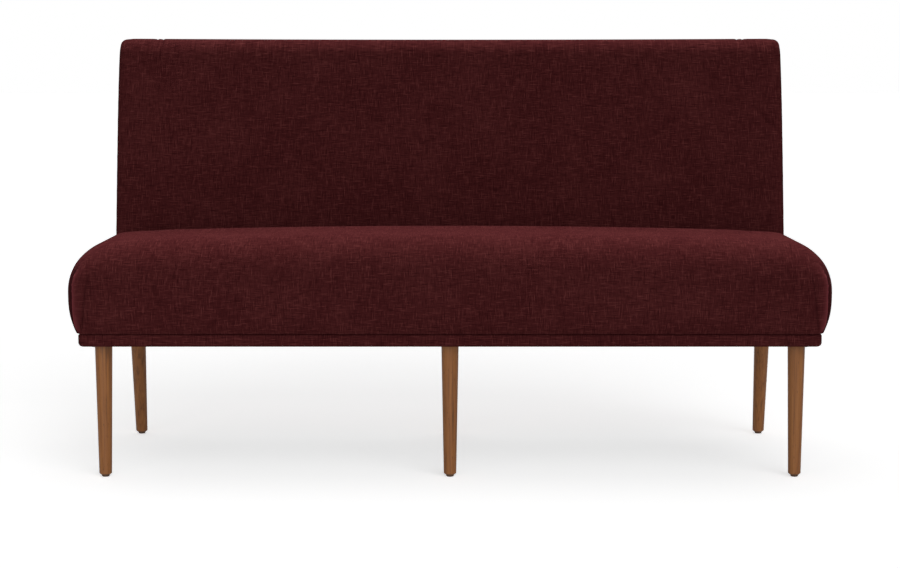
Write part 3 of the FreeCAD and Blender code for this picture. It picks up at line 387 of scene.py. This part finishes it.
def seatRing(share):
    # share 0 at the hem, 1 at the waist, 2 at the crown
    top, waist = seatHigh.z, seat["waistHeight"]
    narrow = 0
    if share <= 1:
        z = seatLow.z + share * (waist - seatLow.z)
        narrow = (1 - share) ** 3
        sidePull = frontPull = seat["tuck"] * narrow
    else:
        angle = (share - 1) * math.pi / 2
        z = waist + (top - waist) * math.sin(angle) ** seat["fullness"]
        over = 1 - math.cos(angle) ** seat["fullness"]
        sidePull, frontPull = seat["sideRoll"] * over, seat["frontRoll"] * over
    fall = max(0, 1 - (top - z) / seat["rearDrop"])
    rearPull = seat["rearRoll"] * (1 - math.sqrt(max(0, 1 - fall * fall)))
    rearRadius = seat["rearCornerRadius"] + (seat["rearHemRadius"] - seat["rearCornerRadius"]) * narrow
    return {"z": z, "half": seatHigh.x + seat["ease"] - sidePull, "front": seatLow.y + frontPull,
            "rear": backFace(z) - seat["rearGap"] - rearPull,
            "rise": (z - seatLow.z) / (pleat["top"] - seatLow.z),
            "radius": seat["cornerRadius"] + (seat["hemRadius"] - seat["cornerRadius"]) * narrow,
            "rearRadius": rearRadius}


seatAcross = seat["frontSteps"] + 2 * seat["arcSteps"]
seatDeep = seat["sideSteps"] + seat["arcSteps"] + seat["rearArcSteps"]


def foldAngle(rise):
    return pleat["foldStart"] + pleat["foldSweep"] * smoothStep(*pleat["foldSweepRise"], rise)


def creaseAngle(rise):
    return pleat["creaseStart"] + pleat["creaseSweep"] * rise


def cornerAngle(step, rise):
    # plan angle of a station between the corner line and the side; stations crowd at the fold
    fold, station = foldAngle(rise), pleat["foldStation"]
    knots = ((0, 45), (station, fold), (station + pleat["wallStations"], fold + pleat["foldWall"]),
             (seat["arcSteps"], 90))
    for (start, low), (end, high) in zip(knots, knots[1:]):
        if step <= end:
            return math.radians(low + (high - low) * (step - start) / (end - start))


def seatSpot(ring, across, deep):
    # a point of one ring from its station along the front, rear or a side, and its plan angle
    half, front, rear = ring["half"], ring["front"], ring["rear"]
    side = -1 if across < seatAcross / 2 else 1
    fromSide = min(across, seatAcross - across)
    if deep in (0, seatDeep):
        radius = ring["radius"] if deep == 0 else ring["rearRadius"]
        if fromSide < seat["arcSteps"]:
            angle = math.pi / 4 * (1 - fromSide / seat["arcSteps"])
        else:
            share = (across - seat["arcSteps"]) / seat["frontSteps"]
            return (2 * share - 1) * (half - radius), front if deep == 0 else rear, 0
    else:
        fromRear = seatDeep - deep
        if deep < seat["arcSteps"]:
            radius = ring["radius"]
            angle = cornerAngle(deep, ring["rise"])
        elif fromRear < seat["rearArcSteps"]:
            radius = ring["rearRadius"]
            angle = math.pi / 4 * (1 + fromRear / seat["rearArcSteps"])
        else:
            share = (deep - seat["arcSteps"]) / seat["sideSteps"]
            start, end = front + ring["radius"], rear - ring["rearRadius"]
            return side * half, start + share * (end - start), math.pi / 2
    x = side * (half - radius + radius * math.sin(angle))
    if deep < seatDeep / 2:
        return x, front + radius - radius * math.cos(angle), angle
    return x, rear - radius + radius * math.cos(angle), -angle


def crownFall(x, z):
    # the crown falls away towards the two ends
    lift = max(0, (z - seat["waistHeight"]) / (seatHigh.z - seat["waistHeight"]))
    return seat["crownFall"] * (x / seat["crownSpan"]) ** 2 * lift


def pleatShift(turn, rise, radius):
    # outward shift at a front corner: a soft crease, a wedge that swells, then the fold's sharp step
    crease, fold = creaseAngle(rise), foldAngle(rise)
    aside = (turn - crease) * radius * math.pi / 180
    height = pleat["foldHeight"] * hump(pleat["foldSpan"], rise)
    depth = pleat["creaseDepth"] * hump(pleat["creaseSpan"], rise)
    shift = -depth * math.exp(-(aside / pleat["creaseWidth"]) ** 2)
    if turn <= fold:
        climb = min(1, max(0, (turn - crease) / (fold - crease)))
        shift += height * math.sin(math.pi / 2 * climb) ** pleat["foldSwell"]
    else:
        # behind the fold the side lies flat, a little sunk
        share = (turn - fold) / (90 - fold)
        hollow = pleat["sunk"] * share ** pleat["sunkNear"] * (1 - share) ** pleat["sunkFar"]
        shift += height * (1 - smoothStep(0, pleat["foldWall"], turn - fold))
        shift -= height * hollow * radius / seat["cornerRadius"]
    return shift


def paintedPleatShading(turn, rise, radius):
    # painted highlight on the fold's edge, painted shade in the pocket beside it and along the crease
    fade = hump(pleat["paintedShadingSpan"], rise)
    arc = radius * math.pi / 180
    past = (turn - foldAngle(rise)) * arc
    if past > 0:
        return -pleat["pocketShadeStrength"] * fade * (1 - smoothStep(*pleat["pocketShadeFade"], past / pleat["pocketShade"]))
    aside = (turn - creaseAngle(rise)) * arc
    crease = pleat["creaseShade"] * (1 - smoothStep(*pleat["creaseFade"], rise))
    crease *= math.exp(-(aside / pleat["creaseWidth"]) ** 2)
    # painted highlight on the fold's edge, less painted shade in the crease
    return fade * (pleat["edgeHighlight"] * math.exp(past / pleat["edgeHighlightWidth"]) - crease)


def seatRings():
    # rings down the side, evenly spaced along the cloth, then the lip that turns in under the hem;
    # each with its distance along the cloth
    steps = seat["fineSteps"]
    fine = [seatRing(2 - number / steps) for number in range(2 * steps + 1)]
    drop, last = 0, fine[0]
    rings = []
    for ring in fine[1:]:
        step = math.hypot(ring["front"] - last["front"], ring["z"] - last["z"])
        if step >= seat["ringSpacing"] or ring is fine[-1]:
            drop += step
            rings.append((ring, drop))
            last = ring
    for share in seat["lipShares"]:
        inset = share * seat["lip"]
        lipRing = dict(last, half=last["half"] - inset, front=last["front"] + inset,
                       rear=last["rear"] - inset, radius=max(last["radius"] - inset, seat["lipRadius"]),
                       rearRadius=seat["lipRadius"])
        rings.append((lipRing, drop + inset))
    return rings


def buildSeat():
    bm = bmesh.new()
    bmesh.ops.create_grid(bm, x_segments=seatAcross, y_segments=seatDeep, size=1)
    acrossLayer = bm.verts.layers.int.new("across")
    deepLayer = bm.verts.layers.int.new("deep")
    dropLayer = bm.verts.layers.float.new("drop")
    holdLayer = bm.verts.layers.float.new("hold")
    turnLayer = bm.verts.layers.float.new("turn")
    riseLayer = bm.verts.layers.float.new("rise")
    arcLayer = bm.verts.layers.float.new("arc")
    topRing = seatRing(2)
    for vert in bm.verts:
        vert[acrossLayer] = round((vert.co.x + 1) / 2 * seatAcross)
        vert[deepLayer] = round((vert.co.y + 1) / 2 * seatDeep)
        x, y = blendInside(seatSpot, topRing, vert[acrossLayer], vert[deepLayer], seatAcross, seatDeep)
        vert.co = (x, y, topRing["z"])
    rim = [edge for edge in bm.edges if edge.is_boundary]
    for ring, drop in seatRings():
        rim, verts = growRim(bm, rim)
        for vert in verts:
            x, y, angle = seatSpot(ring, vert[acrossLayer], vert[deepLayer])
            vert.co = (x, y, ring["z"])
            vert[dropLayer] = drop
            vert[turnLayer] = math.degrees(angle)
            vert[riseLayer] = ring["rise"]
            vert[arcLayer] = ring["radius"]
            vert[holdLayer] = 1 - smoothStep(*seat["holdRise"], ring["rise"])
    # the cloth's own threads run on from the top over the front, the rear and each side
    threads = bm.loops.layers.uv.new("cloth")
    for face in bm.faces:
        deep = [vert[deepLayer] for vert in face.verts]
        onSide = any(vert[dropLayer] > 0 for vert in face.verts)
        for loop in face.loops:
            x, y, drop = loop.vert.co.x, loop.vert.co.y, loop.vert[dropLayer]
            if onSide and max(deep) == 0:
                y = topRing["front"] - drop
            elif onSide and min(deep) == seatDeep:
                y = topRing["rear"] + drop
            elif onSide:
                x = math.copysign(topRing["half"] + drop, x)
            loop[threads].uv = (x, y)
    for vert in bm.verts:
        vert.co.z -= crownFall(vert.co.x, vert.co.z)
    bmesh.ops.recalc_face_normals(bm, faces=bm.faces[:])
    return bm


seatPiece = makePiece(buildSeat(), "seat_upholstery", linenCloth, "cover_cloth",
                      "seat_cover", "seat_wadding", "seat_foam")
rises, turns, arcs = (readValues(seatPiece.data, name) for name in ("rise", "turn", "arc"))
settleCover(seatPiece, Vector((0, 0, 1)))
# painted light and shade at the pleats, stored per point for the cloth's colour: a highlight on the fold's
# edges, shade in their pockets and creases
paintedFoldShading = seatPiece.data.attributes.new("paintedFoldShading", "FLOAT", "POINT").data
for vert, rise, turn, arc in zip(seatPiece.data.vertices, rises, turns, arcs):
    if 0 < turn <= 90 and pleat["reach"][0] <= rise < pleat["reach"][1]:
        paintedFoldShading[vert.index].value = paintedPleatShading(turn, rise, arc)
        angle = math.radians(turn)
        outward = Vector((math.copysign(math.sin(angle), vert.co.x), -math.cos(angle), 0))
        vert.co += outward * pleatShift(turn, rise, arc)
dropValues(seatPiece.data, "across", "deep", "drop", "hold", "turn", "rise", "arc")
addThickness(seatPiece, coverThick)

# Back: a leaning pad with a soft crown, rounded edges and two sewn seams over its top near each end
back = {"sideRound": 20 * mm, "topHigh": 36 * mm, "topDeep": 52 * mm, "topLift": 1.0 * mm, "rollSteps": 10,
        "faceRadius": 5 * mm, "cornerRadius": 13 * mm, "cornerOuter": 30 * mm, "cornerInner": 8 * mm,
        "cornerBlend": 0.5, "sideShares": (0.25, 0.5, 0.75), "rearRound": 8 * mm, "rearSteps": 4,
        "rearRadius": 3 * mm, "rearInsets": (12 * mm, 16 * mm), "drawIn": 2.5 * mm, "drawInPower": 8,
        "crown": 9 * mm, "arcSteps": 7, "upSteps": 58, "columnGap": 13 * mm,
        "holdRows": 6, "holdDeep": (30 * mm, 70 * mm),
        "endRise": 2.4 * mm, "endDip": 2.2 * mm, "dipOuter": 32 * mm, "dipInner": 8 * mm,
        "seamPlaces": (639.4 * mm, 651.9 * mm), "seamWidth": 3.5 * mm, "seamDepth": 2.7 * mm,
        "seamReach": 16 * mm, "seamFull": 3 * mm, "seamNear": 22 * mm, "seamColumnGap": 1.6 * mm}
# columns across the back, closer together where the seams cross its top
backColumns = [0]
while backColumns[-1] < backHigh.x - back["cornerRadius"]:
    nearSeam = abs(backColumns[-1] - sum(back["seamPlaces"]) / 2) < back["seamNear"]
    backColumns.append(backColumns[-1] + (back["seamColumnGap"] if nearSeam else back["columnGap"]))
backColumns = [-x for x in backColumns[:0:-1]] + backColumns
columnSteps = len(backColumns) - 1
backAcross = columnSteps + 2 * back["arcSteps"]
backUp = back["upSteps"] + back["arcSteps"]


def backSpot(ring, across, up):
    # a point of one ring of the back's outline, seen from the front
    half, low, top, radius = ring["half"], ring["low"], ring["top"], ring["radius"]
    side = -1 if across < backAcross / 2 else 1
    fromSide = min(across, backAcross - across)
    fromTop = backUp - up
    if up == backUp:
        if fromSide >= back["arcSteps"]:
            return backColumns[across - back["arcSteps"]] / backColumns[-1] * (half - radius), top
        angle = math.pi / 4 * (1 + fromSide / back["arcSteps"])
    elif up == 0:
        if fromSide < back["arcSteps"]:
            return side * (half - radius * fromSide / back["arcSteps"]), low
        return backColumns[across - back["arcSteps"]] / backColumns[-1] * (half - radius), low
    elif fromTop >= back["arcSteps"]:
        return side * half, low + (top - radius - low) * up / back["upSteps"]
    else:
        angle = math.pi / 4 * (1 - fromTop / back["arcSteps"])
    return side * (half - radius + radius * math.cos(angle)), top - radius + radius * math.sin(angle)


def backSwell(z):
    # 0 at the lower and upper end of the back, 1 halfway
    share = min(1, max(0, (z - backLow.z) / (backHigh.z - backLow.z)))
    return math.sin(math.pi * share)


def backDepth(x, z):
    # how far the crowned face lies behind the back's front plane
    swell = backSwell(z)
    bow = back["crown"] * (1 + swell) / 4
    return back["crown"] * (1 - swell) / 2 + bow * min(1, abs(x) / backHigh.x) ** 2


def backSqueeze(z):
    # the sides draw in a little towards the top and bottom
    return back["drawIn"] * (1 - backSwell(z)) ** 2


def backRings(half, low, top):
    # rings from the face round the edges to the rear, each with its depth at the sides and at the top
    rings = []
    for step in range(back["rollSteps"] + 1):
        angle = step / back["rollSteps"] * math.pi / 2
        inset, deep = 1 - math.sin(angle), 1 - math.cos(angle)
        radius = back["faceRadius"] + (back["cornerRadius"] - back["faceRadius"]) * (1 - inset)
        rings.append(({"half": half - inset * back["sideRound"], "low": low,
                       "top": top - inset * back["topHigh"], "radius": radius},
                      deep * back["sideRound"], deep * back["topDeep"]))
    outer = rings[-1][0]
    reach = backThick - back["rearRound"]
    for share in back["sideShares"]:
        rings.append((outer, back["sideRound"] + share * (reach - back["sideRound"]),
                      back["topDeep"] + share * (reach - back["topDeep"])))
    for step in range(back["rearSteps"] + 1):
        angle = step / back["rearSteps"] * math.pi / 2
        inset = back["rearRound"] * (1 - math.cos(angle))
        deep = backThick - back["rearRound"] * (1 - math.sin(angle))
        rings.append(({"half": half - inset, "low": low, "top": top - inset,
                       "radius": max(back["rearRadius"], back["cornerRadius"] - inset)}, deep, deep))
    for inset in back["rearInsets"]:
        rings.append(({"half": half - inset, "low": low, "top": top - inset, "radius": back["rearRadius"]},
                      backThick, backThick))
    return rings


def buildBack():
    bm = bmesh.new()
    bmesh.ops.create_grid(bm, x_segments=backAcross, y_segments=backUp, size=1)
    acrossLayer = bm.verts.layers.int.new("across")
    upLayer = bm.verts.layers.int.new("up")
    dropLayer = bm.verts.layers.float.new("drop")
    holdLayer = bm.verts.layers.float.new("hold")
    half, top = backHigh.x, backHigh.z + back["topLift"]
    rings = backRings(half, backLow.z, top)
    first = rings[0][0]
    for vert in bm.verts:
        vert[acrossLayer] = round((vert.co.x + 1) / 2 * backAcross)
        vert[upLayer] = round((vert.co.y + 1) / 2 * backUp)
        x, z = blendInside(backSpot, first, vert[acrossLayer], vert[upLayer], backAcross, backUp)
        vert.co = (x, 0, z)
        vert[holdLayer] = 1 - smoothStep(0, back["holdRows"], vert[upLayer])
    rim = [edge for edge in bm.edges if edge.is_boundary]
    drop = 0
    for (last, lastSide, lastTop), (ring, sideDeep, topDeep) in zip(rings, rings[1:]):
        drop += math.hypot(ring["half"] - last["half"], sideDeep - lastSide)
        # the lower end stays open
        rim = [edge for edge in rim if any(vert[upLayer] > 0 for vert in edge.verts)]
        rim, verts = growRim(bm, rim)
        for vert in verts:
            x, z = backSpot(ring, vert[acrossLayer], vert[upLayer])
            if vert[upLayer] == backUp:
                cornerShare = smoothStep(half - back["cornerOuter"], half - back["cornerInner"], abs(x))
                cornerShare *= back["cornerBlend"]
            else:
                cornerShare = smoothStep(top - back["cornerOuter"], top - back["cornerInner"], z)
                cornerShare = 1 - cornerShare * back["cornerBlend"]
            vert.co = (x, topDeep + (sideDeep - topDeep) * cornerShare, z)
            vert[dropLayer] = drop
            vert[holdLayer] = max(smoothStep(*back["holdDeep"], vert.co.y),
                                  1 - smoothStep(0, back["holdRows"], vert[upLayer]))
    # the cloth's own threads run on from the face over the top and each side
    threads = bm.loops.layers.uv.new("cloth")
    for face in bm.faces:
        onTop = all(vert[upLayer] == backUp for vert in face.verts)
        onSide = any(vert[dropLayer] > 0 for vert in face.verts)
        for loop in face.loops:
            x, z, drop = loop.vert.co.x, loop.vert.co.z, loop.vert[dropLayer]
            if onSide and onTop:
                z = first["top"] + drop
            elif onSide:
                x = (-1 if x < 0 else 1) * (first["half"] + drop)
            loop[threads].uv = (x, z)
    # lean, crown and the sewn seams
    for vert in bm.verts:
        x, deep, z = vert.co
        keep = 1 - smoothStep(0, backThick, deep)
        x -= math.copysign(backSqueeze(z) * min(1, abs(x) / half) ** back["drawInPower"], x)
        groove = 0
        for place in back["seamPlaces"]:
            groove += math.exp(-((abs(x) - place) / back["seamWidth"]) ** 2)
        reach = smoothStep(top - back["seamReach"], top - back["seamFull"], z)
        dip = back["endDip"] * smoothStep(half - back["dipOuter"], half - back["dipInner"], abs(x))
        z += (back["endRise"] * (x / half) ** 2 - dip - back["seamDepth"] * groove) * reach
        vert.co = (x, backFace(z) + deep + backDepth(x, z) * keep, z)
    bmesh.ops.recalc_face_normals(bm, faces=bm.faces[:])
    return bm


backPiece = makePiece(buildBack(), "back_upholstery", linenCloth, "cover_cloth",
                      "back_cover", "back_wadding", "back_foam")
settleCover(backPiece, Vector((0, -1, 0)))
dropValues(backPiece.data, "across", "up", "drop", "hold")
addThickness(backPiece, coverThick)

# Outside back: a thin board covered in the same cloth, let in flush behind the back
outside = {"thick": 3 * mm, "round": 1.4 * mm, "roundSteps": 3, "seamGap": 0.8 * mm}


def buildPanel():
    bm = bmesh.new()
    bmesh.ops.create_cube(bm, size=1)
    size = panelHigh - panelLow
    for vert in bm.verts:
        x = (panelLow.x + panelHigh.x) / 2 + vert.co.x * (size.x - 2 * outside["seamGap"])
        z = (panelLow.z + panelHigh.z) / 2 + vert.co.z * (size.z - outside["seamGap"])
        vert.co = (x, rearFace(z) - (0.5 - vert.co.y) * outside["thick"], z)
    roundEdges(bm, bm.edges[:], outside["round"], outside["roundSteps"])
    threads = bm.loops.layers.uv.new("cloth")
    for face in bm.faces:
        for loop in face.loops:
            loop[threads].uv = (loop.vert.co.x, loop.vert.co.z)
    bmesh.ops.recalc_face_normals(bm, faces=bm.faces[:])
    return bm


makePiece(buildPanel(), "outside_back_panel", linenCloth, "panel_board", "outside_back")

# Base band: cloth wrapped round the board ring, with a bull-nosed edge
band = {"corner": 14 * mm, "cornerSteps": 8, "topRound": 5 * mm, "bottomRound": 8 * mm, "roundSteps": 6,
        "topLip": 12 * mm, "bottomLip": 24 * mm, "thick": 2.2 * mm, "sag": 1.8 * mm}
bandLow.z -= band["sag"]  # the wrapped cloth stands a little below its board
facing = 0.7  # a face looks along an axis when its normal holds more of it than this


def buildBand():
    bm = bmesh.new()
    bmesh.ops.create_cube(bm, size=1)
    middle, size = (bandLow + bandHigh) / 2, bandHigh - bandLow
    for vert in bm.verts:
        vert.co = [middle[axis] + vert.co[axis] * size[axis] for axis in range(3)]
    upright = [edge for edge in bm.edges if abs(edge.verts[0].co.z - edge.verts[1].co.z) > hair]
    roundEdges(bm, upright, band["corner"], band["cornerSteps"])
    for level, radius in ((bandHigh.z, band["topRound"]), (bandLow.z, band["bottomRound"])):
        edges = [edge for edge in bm.edges if all(abs(vert.co.z - level) < hair for vert in edge.verts)]
        roundEdges(bm, edges, radius, band["roundSteps"])
    for level, lip in ((bandHigh.z, band["topLip"]), (bandLow.z, band["bottomLip"])):
        cap = max((face for face in bm.faces if abs(face.calc_center_median().z - level) < hair),
                  key=lambda face: face.calc_area())
        bmesh.ops.inset_region(bm, faces=[cap], thickness=lip, use_even_offset=True)
        bmesh.ops.delete(bm, geom=[cap], context="FACES")
    threads = bm.loops.layers.uv.new("cloth")
    for face in bm.faces:
        along = abs(face.normal.x) < facing
        for loop in face.loops:
            x, y, z = loop.vert.co
            around = z if abs(face.normal.z) < facing else z + (y if along else x)
            loop[threads].uv = (x, around) if along else (y, around)
    return bm


bandPiece = makePiece(buildBand(), "base_band", linenCloth, "cover_cloth", "base_wrap")
addThickness(bandPiece, band["thick"])

# Dust cover: black cloth stretched under the base, its edge turned in and stapled
dust = {"hem": 14 * mm, "hemDrop": 0.4 * mm, "hemWall": 0.6 * mm, "below": 0.5 * mm, "thick": 0.5 * mm,
        "legGap": 1 * mm, "weld": 0.001 * mm}
staple = {"long": 11 * mm, "wide": 1.2 * mm, "high": 0.7 * mm, "pitch": 72 * mm, "round": 0.3 * mm,
          "roundSteps": 2}
dustLow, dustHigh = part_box("dust_cover")
dustMiddle, dustSize = (dustLow + dustHigh) / 2, dustHigh - dustLow
legRadius = (legHigh.x - legLow.x) / 2
legPlaces = []
for row in ("front", "rear"):
    for column in ("left", "middle", "right"):
        low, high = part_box("leg_" + row + "_" + column)
        legPlaces.append(((low.x + high.x) / 2, low.y + legRadius))


def buildDust():
    bm = bmesh.new()
    bmesh.ops.create_grid(bm, x_segments=1, y_segments=1, size=0.5)
    for vert in bm.verts:
        vert.co = (dustMiddle.x + vert.co.x * dustSize.x, dustMiddle.y + vert.co.y * dustSize.y,
                   dustHigh.z - dust["below"] - dust["hemDrop"])
    field = bm.faces[:]
    bmesh.ops.inset_region(bm, faces=field, thickness=dust["hem"], use_even_offset=True)
    bmesh.ops.inset_region(bm, faces=field, thickness=dust["hemWall"], depth=dust["hemDrop"],
                           use_even_offset=True)
    # a square hole round every leg
    reach = legRadius + dust["legGap"]
    cuts = set()
    for place in legPlaces:
        for axis in (0, 1):
            cuts.update((axis, round(place[axis] + side * reach, 6)) for side in (-1, 1))
    for axis, value in sorted(cuts):
        point, across = Vector(), Vector()
        point[axis], across[axis] = value, 1
        bmesh.ops.bisect_plane(bm, geom=bm.verts[:] + bm.edges[:] + bm.faces[:], dist=dust["weld"],
                               plane_co=point, plane_no=across)
    inside = []
    for face in bm.faces:
        middle = face.calc_center_median()
        if any(max(abs(middle.x - x), abs(middle.y - y)) < reach for x, y in legPlaces):
            inside.append(face)
    bmesh.ops.delete(bm, geom=inside, context="FACES")
    return bm


def buildStaples():
    bm = bmesh.new()
    for axis, other in ((0, 1), (1, 0)):
        size = [staple["wide"], staple["wide"], staple["high"]]
        size[axis] = staple["long"]
        count = round((dustSize[axis] - 2 * dust["hem"]) / staple["pitch"])
        for side in (-1, 1):
            for number in range(count):
                spot = [0, 0, dustLow.z]
                spot[axis] = dustMiddle[axis] + (number - (count - 1) / 2) * staple["pitch"]
                spot[other] = dustMiddle[other] + side * (dustSize[other] / 2 - dust["hem"] / 2)
                if all(math.dist(spot[:2], place) > legRadius + staple["long"] for place in legPlaces):
                    place = Matrix.LocRotScale(Vector(spot), None, Vector(size))
                    bmesh.ops.create_cube(bm, size=1, matrix=place)
    roundEdges(bm, bm.edges[:], staple["round"], staple["roundSteps"])
    return bm


dustPiece = makePiece(buildDust(), "dust_cover_cloth", spunbond, "inner_cloth", "dust_cover")
addThickness(dustPiece, dust["thick"], offset=0)
makePiece(buildStaples(), "dust_cover_staples", zincSteel, "fixing_steel")

# Floor: white to the eye and keeps a soft shadow; as a bright sweep it throws light back up
floorLook = {"glow": 0.64, "shade": 0.95, "bounce": "#E7E7E7", "sweep": 0.19, "half": 60}
floorMaterial = newMaterial("white_studio_floor")
path = addNode(floorMaterial, "LightPath").outputs
seen = addMath(floorMaterial, "MAXIMUM", path["Is Camera Ray"], path["Is Transmission Ray"])
glow = addNode(floorMaterial, "Emission", {"Strength": floorLook["glow"]}).outputs[0]
shade = addNode(floorMaterial, "BsdfDiffuse", {"Color": (*[floorLook["shade"]] * 3, 1)}).outputs[0]
shown = addNode(floorMaterial, "AddShader", {0: glow, 1: shade}).outputs[0]
sweep = addNode(floorMaterial, "Emission", {"Strength": floorLook["sweep"]}).outputs[0]
bounce = addNode(floorMaterial, "BsdfDiffuse", {"Color": linear(floorLook["bounce"])}).outputs[0]
returned = addNode(floorMaterial, "AddShader", {0: sweep, 1: bounce}).outputs[0]
mixed = addNode(floorMaterial, "MixShader", {0: seen, 1: returned, 2: shown}).outputs[0]
addNode(floorMaterial, "OutputMaterial", {"Surface": mixed})
bm = bmesh.new()
bmesh.ops.create_grid(bm, x_segments=1, y_segments=1, size=floorLook["half"])
floorMesh = meshFrom(bm, "studio_floor")
floorMesh.materials.append(floorMaterial)
floor = addObject("studio_floor", floorMesh)
print("floor laid")

# Light: a wide front softbox, a key from the front right, a weak overhead, and a top softbox from behind
# that is flagged off the floor; each with the side it shines from, its strength and its width in degrees
lights = {"front": ((0.15, -1.0, 0.25), 0.95, 60), "key": ((0.35, -0.67, 0.65), 0.52, 40),
          "overhead": ((0, 0.22, 0.97), 0.55, 72), "top": ((0, 0.5, 0.866), 4.1, 40)}
for name, (toward, strength, spread) in lights.items():
    lamp = bpy.data.lights.new(name, "SUN")
    lamp.energy = strength
    lamp.angle = math.radians(spread)
    holder = addObject(name, lamp)
    holder.rotation_euler = Vector(toward).to_track_quat("Z", "Y").to_euler()
    if name == "top":
        flag = bpy.data.collections.new("floor_flag")
        flag.objects.link(floor)
        flag.collection_objects[0].light_linking.link_state = "EXCLUDE"
        holder.light_linking.receiver_collection = flag
# a second softbox stands nearer, in front of the left end
nearBox = {"size": 1.2, "power": 8, "place": (-1.7, -2.9, 0.7), "toward": (-1.7, -2.9, 0.3)}
near = bpy.data.lights.new("near_softbox", "AREA")
near.shape = "DISK"
near.size = nearBox["size"]
near.energy = nearBox["power"]
holder = addObject("near_softbox", near)
holder.location = nearBox["place"]
holder.rotation_euler = Vector(nearBox["toward"]).to_track_quat("Z", "Y").to_euler()
# the room is white to the eye and lights the part only a little
room = {"light": 0.05, "seen": 1.0}
world = bpy.data.worlds.new("studio")
scene.world = world
world.use_nodes = True
world.node_tree.nodes.clear()
path = addNode(world, "LightPath").outputs
strength = addNode(world, "MapRange", {"Value": path["Is Camera Ray"], "To Min": room["light"],
                                       "To Max": room["seen"]}).outputs[0]
sky = addNode(world, "Background", {"Color": (1, 1, 1, 1), "Strength": strength})
addNode(world, "OutputWorld", {"Surface": sky.outputs[0]})
print("lights set")

# Camera: fitted to the photograph, its distance measured from the front middle leg
view = {"lens": 85.604, "sensor": 36, "distance": 4.2171, "height": 0.8161, "pitch": 84.179}
camera = bpy.data.cameras.new("camera")
camera.lens = view["lens"]
camera.sensor_width = view["sensor"]
cameraHolder = addObject("camera", camera)
cameraHolder.location = (0, (legLow.y + legHigh.y) / 2 - view["distance"], view["height"])
cameraHolder.rotation_euler = (math.radians(view["pitch"]), 0, 0)
scene.camera = cameraHolder
scene.view_settings.view_transform = "Standard"
